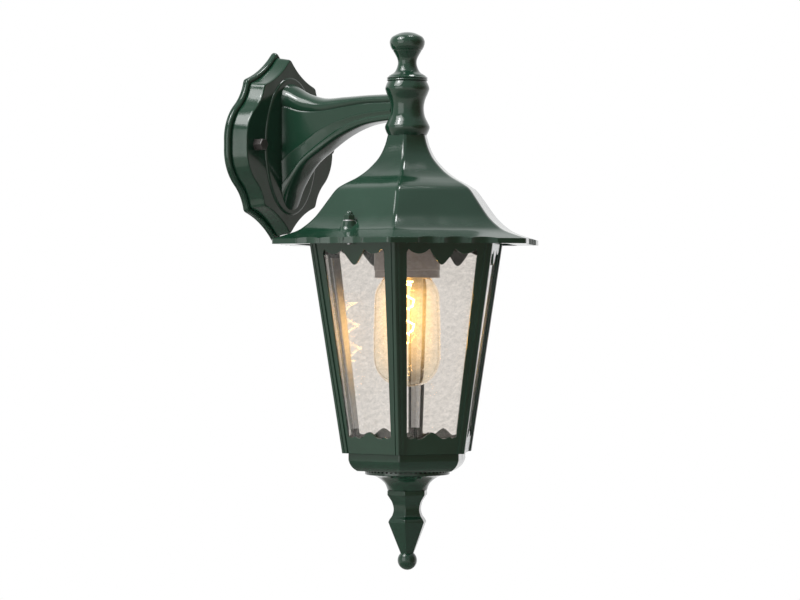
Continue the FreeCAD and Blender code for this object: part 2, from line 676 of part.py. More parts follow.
# ---- lampholder ----
def holder_cover():
    cup = cylinder(COVER_R, COVER_FOOT_Z, COVER_TOP_Z)
    rim = [e for e in cup.Edges if abs(e.CenterOfMass.z - COVER_TOP_Z) < 0.01 and len(e.Vertexes) == 1]
    cup = cup.makeFillet(COVER_WALL, rim)
    cup = cup.cut(cylinder(COVER_R - COVER_WALL, COVER_FOOT_Z - 1, COVER_TOP_Z - COVER_WALL))
    holes = [cylinder(TUBE_R + FIT, COVER_TOP_Z - 10, COVER_TOP_Z + 1)]
    holes += [cylinder(HOLDER_SCREW_R + FIT, COVER_TOP_Z - 10, COVER_TOP_Z + 1, sx * HOLDER_SCREW_X)
              for sx in (1, -1)]
    return outward(cup.cut(holes))


def holder_screws():
    screws = []
    for sx in (1, -1):
        x = sx * HOLDER_SCREW_X
        head = cylinder(HOLDER_SCREW_HEAD_R, COVER_TOP_Z, COVER_TOP_Z + HOLDER_SCREW_HEAD, x)
        shank = cylinder(HOLDER_SCREW_R, COVER_TOP_Z - HOLDER_SCREW_LENGTH, COVER_TOP_Z, x)
        screws.append(head.fuse(shank))
    return outward(Part.makeCompound(screws))


def holder_insulator():
    body = cylinder(INSULATOR_R, INSULATOR_FOOT_Z, INSULATOR_TOP_Z)
    seat = CAP_TOP_Z + CONTACT_THICK
    cuts = [cylinder(INSULATOR_RECESS_R, INSULATOR_TOP_Z - INSULATOR_RECESS, INSULATOR_TOP_Z + 1),
            cylinder(SHELL_R + SHELL_WALL, INSULATOR_FOOT_Z - 1, seat)]
    cuts += [cylinder(HOLDER_SCREW_R + FIT, COVER_TOP_Z - HOLDER_SCREW_LENGTH - 1, INSULATOR_TOP_Z + 1,
                      sx * HOLDER_SCREW_X) for sx in (1, -1)]
    return outward(body.cut(cuts))


def screw_shell():
    high = CAP_TOP_Z - CAP_TIP + 1.0
    return outward(ring(SHELL_R + SHELL_WALL, SHELL_R, high - SHELL_H, high))


def centre_contact():
    return outward(cylinder(CONTACT_R, CAP_TOP_Z, CAP_TOP_Z + CONTACT_THICK))


# ---- lamp ----
def lamp_cap():
    low = CAP_FOOT_Z
    high = CAP_TOP_Z - CAP_TIP
    shell = cylinder(CAP_R, low, high).cut(cylinder(CAP_R - CAP_WALL, low - 1, high - CAP_ROOF))
    return outward(shell)


def lamp_tip():
    low = CAP_TOP_Z - CAP_TIP
    high = CAP_TOP_Z - SHELL_GAP
    return outward(Part.makeCone(CAP_R - CAP_TIP_INSET, CONTACT_R, high - low, V(0, 0, low), UP))


def lamp_outline(inset):
    """Clear envelope: a neck in the cap, round shoulders, nearly straight sides, a rounded end."""
    low = LAMP_FOOT_Z + inset
    neck = CAP_R - LAMP_NECK_ROOM - inset
    side = LAMP_R - inset
    top = CAP_FOOT_Z + LAMP_NECK
    shoulders = [(CAP_FOOT_Z - drop, neck + share * (side - neck)) for drop, share in LAMP_SHOULDERS]
    end = [(low + rise, share * side) for rise, share in LAMP_END]
    return [[(top, neck), (CAP_FOOT_Z, neck)], [(CAP_FOOT_Z, neck)] + shoulders + end]


def lamp_glass():
    outer = turned(lamp_outline(0))
    inner = turned(lamp_outline(LAMP_WALL))
    return outward(outer.cut(inner))


def lamp_stem():
    top = CAP_FOOT_Z + LAMP_NECK / 2
    flare_foot = top - STEM_H / 2
    flare = [(top, STEM_R), (top - STEM_H / 6, 0.87 * STEM_R), (top - STEM_H / 3, 0.5 * STEM_R),
             (flare_foot, 1.4 * STEM_TIP_R)]
    return outward(turned([flare, [(flare_foot, 1.4 * STEM_TIP_R), (top - STEM_H, STEM_TIP_R)]]))


def lamp_filament():
    """Wire wound round the stem as a square spiral, with an arm from each end to the stem."""
    high = CAP_FOOT_Z - FILAMENT_TOP
    steps = int(FILAMENT_TURNS * FILAMENT_CORNERS)
    points = [V(0, 0, high)]
    for i in range(steps + 1):
        angle = 2 * math.pi * i / FILAMENT_CORNERS
        points.append(V(FILAMENT_R * math.cos(angle), FILAMENT_R * math.sin(angle),
                        high - FILAMENT_PITCH * i / FILAMENT_CORNERS))
    points.append(V(0, 0, points[-1].z))
    runs = [Part.makeCylinder(FILAMENT_WIRE_R, (b - a).Length, a, b - a) for a, b in zip(points[:-1], points[1:])]
    corners = [Part.makeSphere(FILAMENT_WIRE_R, p) for p in points[1:-1]]
    wire = runs[0].fuse(runs[1:] + corners)
    return outward(wire).cut(lamp_stem())


# ---- cage ----
def cage_hexagon(inset, extra=0.0):
    """The tapered cage as a solid, less an inset square to its sides, longer by extra at each end."""
    slope = (CAGE_TOP_R - CAGE_FOOT_R) / CAGE_H
    tilt = math.hypot(1.0, slope * COS30)
    corner = inset * tilt / COS30
    top = (CAGE_TOP_Z + extra, CAGE_TOP_R + slope * extra - corner)
    foot = (CAGE_FOOT_Z - extra, CAGE_FOOT_R - slope * extra - corner)
    return hexagonal([[top, foot]])


def cage_face_place(face):
    """Placement that lays (across, up, out) on one side of the cage, with its origin at the foot's middle."""
    lean = (CAGE_TOP_R - CAGE_FOOT_R) * COS30 / CAGE_H
    length = math.hypot(1.0, lean)
    angle = math.radians(60 * face)
    c = math.cos(angle)
    s = math.sin(angle)
    across = V(-s, c, 0)
    up = V(c * lean, s * lean, 1) * (1 / length)
    out = V(c, s, -lean) * (1 / length)
    foot = V(c, s, 0) * (CAGE_FOOT_R * COS30) + V(0, 0, CAGE_FOOT_Z)
    return FreeCAD.Placement(FreeCAD.Matrix(across.x, up.x, out.x, foot.x,
                                            across.y, up.y, out.y, foot.y,
                                            across.z, up.z, out.z, foot.z,
                                            0, 0, 0, 1))


def slant(height):
    """Height above the cage's foot as a length on its side."""
    return height * math.hypot(1.0, (CAGE_TOP_R - CAGE_FOOT_R) * COS30 / CAGE_H)


def half_side(height):
    """Half the width of a side at a height above the foot."""
    return (CAGE_FOOT_R + (CAGE_TOP_R - CAGE_FOOT_R) * height / CAGE_H) / 2


WINDOW_FOOT = RAIL_FOOT
WINDOW_TOP = CAGE_H - RAIL_TOP
HALF_HEAD = half_side(WINDOW_TOP) - STILE_TOP
HALF_SILL = half_side(WINDOW_FOOT) - STILE_FOOT


def window_wire():
    """One window: a crested head with two small sags and a middle lobe, a low wavy sill."""
    head = slant(WINDOW_TOP)
    sill = slant(WINDOW_FOOT)
    w = HALF_HEAD
    s = HALF_SILL

    def mirror_x(points):
        return [V(-p.x, p.y, 0) for p in reversed(points)]

    sag = [V(0.95 * w, head, 0), V(0.66 * w, head - CREST_SAG, 0), V(0.36 * w, head, 0)]
    lobe = [V(0.36 * w, head, 0), V(0.2 * w, head - 0.56 * CREST_DROP, 0), V(0, head - CREST_DROP, 0)]
    lobe += mirror_x(lobe[:-1])
    outer_dip = [V(s, sill + SILL_CUSP, 0), V(0.86 * s, sill, 0), V(0.7 * s, sill + SILL_CUSP, 0)]
    inner_dip = [V(0.7 * s, sill + SILL_CUSP, 0), V(0.52 * s, sill - 0.4, 0), V(0.34 * s, sill + 0.4, 0)]
    hump = [V(0.34 * s, sill + 0.4, 0), V(0.18 * s, sill + 0.6 * SILL_HUMP, 0), V(0, sill + SILL_HUMP, 0)]
    hump += mirror_x(hump[:-1])
    jamb = [V(s, sill + SILL_CUSP, 0), V(w, head - 3.0, 0)]
    corner = [V(w, head - 3.0, 0), V(0.95 * w, head, 0)]
    edges = [run_edge(lobe), run_edge(hump)]
    for line in (jamb, corner):
        edges += [run_edge(line), run_edge(mirror_x(line))]
    for arc in (sag, outer_dip, inner_dip):
        edges += [Part.Arc(*arc).toShape(), Part.Arc(*mirror_x(arc)).toShape()]
    return Part.Wire(Part.__sortEdges__(edges))


def face_prism(points, low, high):
    """A prism on one side of the cage: outline of (across, up), from low to high along the outward way."""
    wire = Part.makePolygon([V(x, y, low) for x, y in points] + [V(points[0][0], points[0][1], low)])
    return Part.Face(wire).extrude(V(0, 0, high - low))


def trapezoid(side_top, side_foot, top, foot):
    """Outline with its half widths measured in from the cage's corners."""
    high = half_side(top) - side_top
    low = half_side(foot) - side_foot
    return [(-low, slant(foot)), (low, slant(foot)), (high, slant(top)), (-high, slant(top))]


def on_all_sides(make):
    """The shape from make, laid on each of the six sides."""
    shapes = []
    for face in range(6):
        shape = make()
        shape.Placement = cage_face_place(face).multiply(shape.Placement)
        shapes.append(shape)
    return shapes


def cage_frame():
    shell = cage_hexagon(0).cut(cage_hexagon(CAGE_WALL, 2.0))
    floor_low = CAGE_FOOT_Z + FLOOR_UP
    slab = cylinder(CAGE_TOP_R, floor_low, FLOOR_TOP_Z)
    shell = shell.fuse(cage_hexagon(CAGE_WALL / 2).common(slab))

    def panel():
        return face_prism(trapezoid(CORNER_STRIP, CORNER_STRIP, CAGE_H + 2, -2.0), -PANEL_RECESS, 5.0)

    def groove(side):
        near = 0.5 * (CORNER_STRIP - GROOVE_WIDTH)
        far = near + GROOVE_WIDTH
        points = [(side * (half_side(-2.0) - far), slant(-2.0)), (side * (half_side(-2.0) - near), slant(-2.0)),
                  (side * (half_side(CAGE_H + 2) - near), slant(CAGE_H + 2)),
                  (side * (half_side(CAGE_H + 2) - far), slant(CAGE_H + 2))]
        return face_prism(points, -GROOVE_DEPTH, 5.0)

    def window():
        opening = Part.Face(window_wire()).extrude(V(0, 0, 2 * CAGE_WALL + 4))
        opening.translate(V(0, 0, -CAGE_WALL - 3))
        return opening

    cuts = on_all_sides(panel) + on_all_sides(window)
    cuts += on_all_sides(lambda: groove(1)) + on_all_sides(lambda: groove(-1))
    frame = shell.cut(cuts)
    wall_middle = CAGE_TOP_R * COS30 - CAGE_WALL
    lugs = []
    for sx in (1, -1):
        web = Part.makeBox(STUD_OUT - wall_middle, 2 * LUG_R, LUG_THICK,
                           V(min(sx * wall_middle, sx * STUD_OUT), -LUG_R, CAGE_TOP_Z - LUG_THICK))
        lugs.append(web.fuse(cylinder(LUG_R, CAGE_TOP_Z - LUG_THICK, CAGE_TOP_Z, sx * STUD_OUT)))
    keep_out = cage_hexagon(CAGE_WALL, 2.0)
    frame = frame.fuse([lug.cut(keep_out) for lug in lugs])
    holes = [cylinder(STUD_R, CAGE_TOP_Z - 10, CAGE_TOP_Z + 1, sx * STUD_OUT) for sx in (1, -1)]
    holes.append(cylinder(TIE_R + FIT, floor_low - 1, FLOOR_TOP_Z + 1))
    for k in range(6):
        angle = math.radians(30 + 60 * k)
        holes.append(cylinder(VENT_R, floor_low - 1, FLOOR_TOP_Z + 1,
                              VENT_OUT * math.cos(angle), VENT_OUT * math.sin(angle)))
    return outward(frame.cut(holes))


def glass_pane(face):
    """One pane behind its window, on its side of the cage."""
    foot = WINDOW_FOOT - GLASS_LAP
    top = min(WINDOW_TOP + GLASS_LAP, CAGE_H - 1.0)
    pane = face_prism(trapezoid(STILE_TOP - GLASS_LAP, STILE_FOOT - GLASS_LAP, top, foot),
                      -CAGE_WALL - GLASS_THICK, -CAGE_WALL)
    pane.Placement = cage_face_place(face)
    return outward(pane)


def glass_retainers():
    """Six bent strips in the corners, over the edges of the panes."""
    inner = CAGE_WALL + GLASS_THICK
    skin = cage_hexagon(inner).cut(cage_hexagon(inner + RETAINER_THICK, 2.0))
    low = CAGE_FOOT_Z + WINDOW_FOOT + RETAINER_END
    high = CAGE_FOOT_Z + WINDOW_TOP - RETAINER_END
    skin = skin.common(cylinder(CAGE_TOP_R, low, high))

    def clear():
        side_top = STILE_TOP - GLASS_LAP + RETAINER_LAP
        side_foot = STILE_FOOT - GLASS_LAP + RETAINER_LAP
        return face_prism(trapezoid(side_top, side_foot, WINDOW_TOP + 20, WINDOW_FOOT - 20), -40.0, 10.0)

    strips = skin.cut(on_all_sides(clear))
    return outward(Part.makeCompound(strips.Solids))


def cage_studs():
    top = BOSS_TOP_Z + NUT_WASHER + NUT_H - NUT_WALL - 1.0
    studs = [cylinder(STUD_R, CAGE_TOP_Z - LUG_THICK, top, sx * STUD_OUT) for sx in (1, -1)]
    return outward(Part.makeCompound(studs))


# ---- bowl, vent ring, cup and pendant ----
def bottom_bowl():
    spread = BOWL_R - BOWL_FOOT_R
    outer_runs = [[(CAGE_FOOT_Z, BOWL_R), (CAGE_FOOT_Z - 0.38 * BOWL_H, BOWL_R)],
                  [(CAGE_FOOT_Z - 0.38 * BOWL_H, BOWL_R), (CAGE_FOOT_Z - 0.6 * BOWL_H, BOWL_R - 0.17 * spread),
                   (CAGE_FOOT_Z - 0.82 * BOWL_H, BOWL_R - 0.5 * spread), (BOWL_FOOT_Z, BOWL_FOOT_R)]]
    inset = BOWL_WALL / COS30
    inner_runs = [[(CAGE_FOOT_Z + 1, BOWL_R - inset), (CAGE_FOOT_Z - 0.38 * BOWL_H, BOWL_R - inset)],
                  [(CAGE_FOOT_Z - 0.38 * BOWL_H, BOWL_R - inset), (BOWL_FOOT_Z + BOWL_WALL, BOWL_FOOT_R - inset)]]
    bowl = hexagonal(outer_runs).cut(hexagonal(inner_runs))
    holes = [cylinder(TIE_R + FIT, BOWL_FOOT_Z - 1, BOWL_FOOT_Z + 10)]
    for k in range(6):
        angle = math.radians(60 * k)
        out = VENT_RING_BORE - VENT_R - 2
        holes.append(cylinder(VENT_R, BOWL_FOOT_Z - 1, BOWL_FOOT_Z + 10, out * math.cos(angle), out * math.sin(angle)))
    return outward(bowl.cut(holes))


def vent_ring():
    disc = ring(VENT_RING_R, VENT_RING_BORE, RING_FOOT_Z, BOWL_FOOT_Z)
    slots = []
    for k in range(VENT_SLOTS):
        slot = Part.makeBox(VENT_RING_R, VENT_SLOT_WIDTH, VENT_SLOT_DEPTH + 1,
                            V(VENT_RING_BORE - 3, -VENT_SLOT_WIDTH / 2, BOWL_FOOT_Z - VENT_SLOT_DEPTH))
        slot.rotate(V(0, 0, 0), UP, 360.0 * k / VENT_SLOTS)
        slots.append(slot)
    return outward(disc.cut(slots))


def flared_cup():
    spread = CUP_R - CUP_FOOT_R
    flare = [(RING_FOOT_Z, CUP_R), (RING_FOOT_Z - 0.1 * CUP_H, CUP_R - 0.3 * spread),
             (RING_FOOT_Z - 0.3 * CUP_H, CUP_R - 0.6 * spread), (RING_FOOT_Z - 0.6 * CUP_H, CUP_R - 0.87 * spread),
             (CUP_FOOT_Z, CUP_FOOT_R)]
    bell = turned([flare])
    well = Part.makeCone(TIE_R + 4, CUP_BORE_R, CUP_BORE_H, V(0, 0, RING_FOOT_Z - CUP_BORE_H), UP)
    well = well.common(turned([[(z, r - 3.0) for z, r in flare]]))
    return outward(bell.cut([well, cylinder(TIE_R + FIT, CUP_FOOT_Z - 1, RING_FOOT_Z + 1)]))


def pendant():
    """Six-sided drop: a waisted neck, a straight pyramid and a ball."""
    top = CUP_FOOT_Z
    widest = top - 0.395 * PENDANT_H
    ball_z = top - PENDANT_H + PENDANT_BALL_R
    point_z = ball_z + 0.8 * PENDANT_BALL_R
    collar = top - 0.055 * PENDANT_H
    neck = [[(top, PENDANT_TOP_R), (collar, PENDANT_TOP_R)],
            [(collar, PENDANT_TOP_R), (top - 0.1 * PENDANT_H, 0.88 * PENDANT_TOP_R),
             (top - 0.15 * PENDANT_H, 0.765 * PENDANT_TOP_R), (top - 0.235 * PENDANT_H, 0.69 * PENDANT_TOP_R),
             (top - 0.31 * PENDANT_H, 0.79 * PENDANT_R), (top - 0.36 * PENDANT_H, 0.93 * PENDANT_R),
             (widest, PENDANT_R)],
            [(widest, PENDANT_R), (point_z, 0.34 * PENDANT_R)]]
    drop = hexagonal(neck).fuse(Part.makeSphere(PENDANT_BALL_R, V(0, 0, ball_z)))
    return outward(drop.cut(cylinder(TIE_R, top - TIE_GRIP - 1, top + 1)))


def tie_screw():
    seat = FLOOR_TOP_Z + TIE_WASHER
    shank = cylinder(TIE_R, CUP_FOOT_Z - TIE_GRIP, seat)
    return outward(hex_bar(TIE_HEAD_FLATS, seat, seat + TIE_HEAD).fuse(shank))


def tie_washer():
    return outward(ring(TIE_WASHER_R, TIE_R + FIT, FLOOR_TOP_Z, FLOOR_TOP_Z + TIE_WASHER))


PANE_NAMES = ["glass_right", "glass_back_right", "glass_back_left", "glass_left", "glass_front_left",
              "glass_front_right"]
NODES = {
    "wall_plate": wall_plate, "plate_gasket": plate_gasket, "fixing_strap": fixing_strap,
    "cable_grommet": cable_grommet, "earth_screw": earth_screw, "plate_bolts": plate_bolts,
    "terminal_block": terminal_block, "terminal_screws": terminal_screws, "arm": arm, "arm_screws": arm_screws,
    "spindle": spindle, "finial": finial, "threaded_tube": threaded_tube, "tube_nuts": tube_nuts,
    "roof_washer": roof_washer, "lamp_lead": lamp_lead, "roof": roof, "nut_washers": nut_washers,
    "holder_cover": holder_cover, "holder_screws": holder_screws, "holder_insulator": holder_insulator,
    "screw_shell": screw_shell, "centre_contact": centre_contact, "lamp_cap": lamp_cap, "lamp_tip": lamp_tip,
    "lamp_glass": lamp_glass, "lamp_stem": lamp_stem, "lamp_filament": lamp_filament, "cage_frame": cage_frame,
    "glass_retainers": glass_retainers, "cage_studs": cage_studs, "bottom_bowl": bottom_bowl,
    "vent_ring": vent_ring, "flared_cup": flared_cup, "pendant": pendant, "tie_screw": tie_screw,
    "tie_washer": tie_washer,
}

os.makedirs("parts", exist_ok=True)
shapes = {name: make() for name, make in NODES.items()}
shapes["cap_nut_left"] = cap_nut(-1)
shapes["cap_nut_right"] = cap_nut(1)
for face, name in enumerate(PANE_NAMES):
    shapes[name] = glass_pane(face)
for name, shape in shapes.items():
    shape.exportStep("parts/" + name + ".step")
    box = shape.BoundBox
    print("%-18s solids %2d  valid %-5s volume %10.1f  z %7.1f to %7.1f" % (
        name, len(shape.Solids), shape.isValid(), shape.Volume, box.ZMin, box.ZMax))
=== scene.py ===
import json
import math

import bmesh
import bpy
from mathutils import Matrix, Vector


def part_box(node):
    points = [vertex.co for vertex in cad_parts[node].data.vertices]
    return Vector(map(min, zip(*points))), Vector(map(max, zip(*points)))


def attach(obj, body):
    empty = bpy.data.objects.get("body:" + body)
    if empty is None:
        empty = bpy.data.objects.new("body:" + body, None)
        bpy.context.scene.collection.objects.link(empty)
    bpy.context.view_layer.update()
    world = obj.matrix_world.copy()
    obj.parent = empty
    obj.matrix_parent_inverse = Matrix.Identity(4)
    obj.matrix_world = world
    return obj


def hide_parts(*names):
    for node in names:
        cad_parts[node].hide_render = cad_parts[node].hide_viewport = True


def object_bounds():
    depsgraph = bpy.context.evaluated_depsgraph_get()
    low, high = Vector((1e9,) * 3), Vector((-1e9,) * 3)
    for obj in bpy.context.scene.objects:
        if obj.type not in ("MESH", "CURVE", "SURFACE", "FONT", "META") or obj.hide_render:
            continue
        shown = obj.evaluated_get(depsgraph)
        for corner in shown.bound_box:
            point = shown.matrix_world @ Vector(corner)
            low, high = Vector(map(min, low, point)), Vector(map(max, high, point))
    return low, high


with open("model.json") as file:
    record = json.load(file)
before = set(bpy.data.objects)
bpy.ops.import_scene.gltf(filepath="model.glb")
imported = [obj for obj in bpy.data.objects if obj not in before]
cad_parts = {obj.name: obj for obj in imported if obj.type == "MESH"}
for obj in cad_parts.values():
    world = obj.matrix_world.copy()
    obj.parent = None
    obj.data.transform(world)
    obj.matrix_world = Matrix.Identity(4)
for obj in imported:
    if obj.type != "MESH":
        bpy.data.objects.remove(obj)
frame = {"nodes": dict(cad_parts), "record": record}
cad_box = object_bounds()

MM = 0.001
SMOOTH_SIDES = 96
SMOOTH_ANGLE = math.radians(34)
COS30 = math.cos(math.radians(30))

# ---- heights and places that the frame gives ----
AXIS_LOW, AXIS_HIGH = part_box("finial")
AXIS_Y = (AXIS_LOW.y + AXIS_HIGH.y) / 2
ROOF_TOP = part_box("spindle")[0].z
SPINDLE_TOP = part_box("spindle")[1].z
FINIAL_TOP = AXIS_HIGH.z
CAGE_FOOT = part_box("bottom_bowl")[1].z
BOWL_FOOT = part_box("bottom_bowl")[0].z
RING_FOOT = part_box("vent_ring")[0].z
CUP_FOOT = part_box("flared_cup")[0].z
PENDANT_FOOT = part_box("pendant")[0].z
COVER_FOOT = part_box("holder_cover")[0].z
COVER_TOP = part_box("holder_cover")[1].z
CAP_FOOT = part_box("lamp_cap")[0].z
CAP_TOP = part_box("lamp_cap")[1].z
LAMP_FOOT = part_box("lamp_glass")[0].z
NUT_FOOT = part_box("cap_nut_left")[0].z
BOSS_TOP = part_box("nut_washers")[0].z
STUD_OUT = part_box("cap_nut_right")[0].x / 2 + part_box("cap_nut_right")[1].x / 2
BOLT_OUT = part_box("plate_bolts")[1].x - 5.77 * MM

# ---- sizes of the castings, as they are made ----
EAVE_R = 129.5 * MM          # hexagons are given by the distance to their corners
RIM_H = 4.5 * MM
ROOF_H = 97.6 * MM
ROOF_NECK_R = 19.3 * MM
ROOF_WALL = 3.0 * MM
EAVE_WALL = 18.0 * MM
RIDGE_ROUND = 2.4 * MM
SCALLOP_WIDTH = 25.4 * MM
SCALLOP_DEPTH = 3.4 * MM
BOSS_R = 6.6 * MM
BOSS_FLARE_R = 14.0 * MM
BOSS_FLARE = 11.0 * MM
CAGE_H = 187.8 * MM
CAGE_TOP_R = 94.0 * MM
CAGE_FOOT_R = 62.8 * MM
CAGE_WALL = 3.0 * MM
PLATE_HALF_H = 81.0
PLATE_HALF_W = 62.4
PLATE_CUSP = (37.2, 55.3)
AXIS_OUT = -AXIS_Y

# shares of the height from the top, and of the widest radius
SPINDLE_SHAPE = [(0.0, 0.86), (0.07, 0.94), (0.14, 0.985), (0.22, 0.925), (0.355, 0.79), (0.5, 0.737),
                 (0.645, 0.785), (0.77, 0.925), (0.85, 1.0), (0.93, 0.945), (1.0, 0.86)]
FINIAL_SHAPE = [(0.0, 0.02), (0.012, 0.24), (0.033, 0.43), (0.093, 0.715), (0.15, 0.82), (0.214, 0.86), (0.295, 0.822),
                (0.345, 0.762), (0.366, 0.73), (0.374, 0.702), (0.4, 0.675), (0.459, 0.592), (0.539, 0.494),
                (0.62, 0.455), (0.702, 0.488), (0.782, 0.568), (0.83, 0.66), (0.864, 0.79), (0.888, 0.88),
                (0.925, 0.965)]
# shares of the drop from neck to eave, and of the spread from neck to eave
ROOF_CURVE = [(0.0, 0.0), (0.105, 0.027), (0.22, 0.08), (0.33, 0.172), (0.4, 0.256), (0.44, 0.322), (0.48, 0.39),
              (0.525, 0.448), (0.61, 0.508), (0.725, 0.584), (0.8, 0.64), (0.875, 0.718), (0.93, 0.802), (1.0, 1.0)]


def axis_point(z):
    """A point on the lantern's own axis."""
    return Vector((0.0, AXIS_Y, z))


# ---- modelling ----
def rest():
    """Leaves edit mode and selects nothing."""
    if bpy.context.object and bpy.context.object.mode == "EDIT":
        bpy.ops.object.mode_set(mode="OBJECT")
    bpy.ops.object.select_all(action="DESELECT")


def take(piece):
    """Selects one piece alone."""
    rest()
    piece.select_set(True)
    bpy.context.view_layer.objects.active = piece


def edit(piece, mode="FACE"):
    """Opens a piece for editing with nothing selected in it."""
    take(piece)
    bpy.ops.object.mode_set(mode="EDIT")
    bpy.ops.mesh.select_mode(type=mode)
    bpy.ops.mesh.select_all(action="DESELECT")


def choose(piece, kind, test):
    """In edit mode, selects the edges or faces that pass a test."""
    mesh = bmesh.from_edit_mesh(piece.data)
    for part in getattr(mesh, kind):
        part.select_set(bool(test(part)))
    mesh.select_flush_mode()
    bmesh.update_edit_mesh(piece.data)


def closed(piece):
    """Merges doubles and points all faces outwards."""
    edit(piece, "VERT")
    bpy.ops.mesh.select_all(action="SELECT")
    bpy.ops.mesh.remove_doubles(threshold=1e-6)
    bpy.ops.mesh.normals_make_consistent(inside=False)
    rest()
    return piece


def added(name, sides, radius, z):
    """A flat disc on the lantern's axis, open in edit mode and selected."""
    rest()
    bpy.ops.mesh.primitive_circle_add(vertices=sides, radius=radius, fill_type="NGON", location=axis_point(z))
    piece = bpy.context.object
    piece.name = name
    bpy.ops.object.transform_apply(location=True)
    bpy.ops.object.mode_set(mode="EDIT")
    bpy.ops.mesh.select_all(action="SELECT")
    return piece


def turned(name, outline, sides=SMOOTH_SIDES):
    """A solid round the lantern's axis: a disc extruded and resized through an outline of (height, radius)."""
    z, radius = outline[0]
    piece = added(name, sides, radius, z)
    for next_z, next_radius in outline[1:]:
        share = next_radius / radius
        bpy.ops.mesh.extrude_region_move(TRANSFORM_OT_translate={"value": (0, 0, next_z - z)})
        bpy.ops.transform.resize(value=(share, share, 1), center_override=axis_point(next_z))
        z, radius = next_z, next_radius
    return closed(piece)


def on_ridge(edge):
    """True for an edge that runs along a corner of a six-sided piece."""
    a, b = [vertex.co - axis_point(vertex.co.z) for vertex in edge.verts]
    return abs(a.x * b.y - a.y * b.x) < 1e-9


def six_sided(name, outline, ridge_round):
    piece = turned(name, outline, 6)
    edit(piece, "EDGE")
    choose(piece, "edges", on_ridge)
    bpy.ops.mesh.bevel(offset=ridge_round, segments=3, affect="EDGES", clamp_overlap=True)
    return closed(piece)


def flowing(points, steps=5):
    """A smooth run through points of any number of values."""
    ends = [points[0]] + list(points) + [points[-1]]
    run = []
    for i in range(1, len(points)):
        before, start, end, after = ends[i - 1:i + 3]
        for step in range(steps):
            t = step / steps
            run.append(tuple(
                0.5 * (2 * b + (c - a) * t + (2 * a - 5 * b + 4 * c - d) * t * t + (3 * b - a - 3 * c + d) * t ** 3)
                for a, b, c, d in zip(before, start, end, after)))
    return run + [tuple(points[-1])]


def shaped(shares, top, height, radius):
    return [(top - t * height, s * radius) for t, s in flowing(shares)]


def arc(a, b, c, steps):
    """Points on the circle through a, b and c, without c itself."""
    ax, ay = a
    bx, by = b
    cx, cy = c
    d = 2 * (ax * (by - cy) + bx * (cy - ay) + cx * (ay - by))
    ux = ((ax * ax + ay * ay) * (by - cy) + (bx * bx + by * by) * (cy - ay) + (cx * cx + cy * cy) * (ay - by)) / d
    uy = ((ax * ax + ay * ay) * (cx - bx) + (bx * bx + by * by) * (ax - cx) + (cx * cx + cy * cy) * (bx - ax)) / d
    radius = math.hypot(ax - ux, ay - uy)
    start, middle, end = [math.atan2(y - uy, x - ux) for x, y in (a, b, c)]
    sweep = (end - start) % math.tau
    if (middle - start) % math.tau > sweep:
        sweep -= math.tau
    return [(ux + radius * math.cos(start + sweep * i / steps), uy + radius * math.sin(start + sweep * i / steps))
            for i in range(steps)]


def lofted(name, rings):
    """A solid through rings of points: a disc fitted to the first ring, and extruded on through the others."""
    rest()
    bpy.ops.mesh.primitive_circle_add(vertices=len(rings[0]), radius=1.0, fill_type="NGON")
    piece = bpy.context.object
    piece.name = name
    for vertex, point in zip(piece.data.vertices, rings[0]):
        vertex.co = point
    bpy.ops.object.mode_set(mode="EDIT")
    bpy.ops.mesh.select_all(action="SELECT")
    for ring, following in zip(rings, rings[1:]):
        bpy.ops.mesh.extrude_region_move()
        mesh = bmesh.from_edit_mesh(piece.data)
        for vertex in [v for v in mesh.verts if v.select]:
            nearest = min(range(len(ring)), key=lambda i: (ring[i] - vertex.co).length_squared)
            vertex.co = following[nearest]
        bmesh.update_edit_mesh(piece.data)
    return closed(piece)


def prism(name, outline, low, high):
    """A straight solid on a flat outline."""
    return lofted(name, [[Vector((x, y, z)) for x, y in outline] for z in (low, high)])


def copy_of(piece, matrix):
    """A second piece with its own mesh, placed by a matrix."""
    twin = piece.copy()
    twin.data = piece.data.copy()
    twin.data.transform(matrix)
    bpy.context.scene.collection.objects.link(twin)
    return twin


def turn_about_axis(angle):
    place = Matrix.Translation(axis_point(0))
    return place @ Matrix.Rotation(angle, 4, "Z") @ place.inverted()


def joined(pieces):
    rest()
    for piece in pieces:
        piece.select_set(True)
    bpy.context.view_layer.objects.active = pieces[0]
    bpy.ops.object.join()
    return pieces[0]


def six_times(piece):
    """The piece with five copies, one on each side of the lantern."""
    return joined([piece] + [copy_of(piece, turn_about_axis(math.radians(60 * k))) for k in range(1, 6)])


def modified(piece, kind, **settings):
    take(piece)
    modifier = piece.modifiers.new("change", kind)
    for key, value in settings.items():
        setattr(modifier, key, value)
    bpy.ops.object.modifier_apply(modifier=modifier.name)
    return piece


def combined(piece, other, operation):
    """Cuts another piece away or adds it, and uses it up."""
    modified(piece, "BOOLEAN", object=other, operation=operation, solver="EXACT")
    bpy.data.objects.remove(other)
    return piece


def softened(piece, width, segments=2, angle=30, clamp=True):
    return modified(piece, "BEVEL", width=width, segments=segments, limit_method="ANGLE",
                    angle_limit=math.radians(angle), use_clamp_overlap=clamp)


def fitted(piece, body, slot, *nodes):
    """Gives a piece its finish, its smooth shading and its body, and hides the nodes that it stands for."""
    take(piece)
    bpy.ops.object.shade_smooth_by_angle(angle=SMOOTH_ANGLE)
    modified(piece, "WEIGHTED_NORMAL", keep_sharp=True)
    piece.data.materials.clear()
    piece.data.materials.append(FINISHES[slot].material)
    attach(piece, body)
    if nodes:
        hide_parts(*nodes)
    return piece


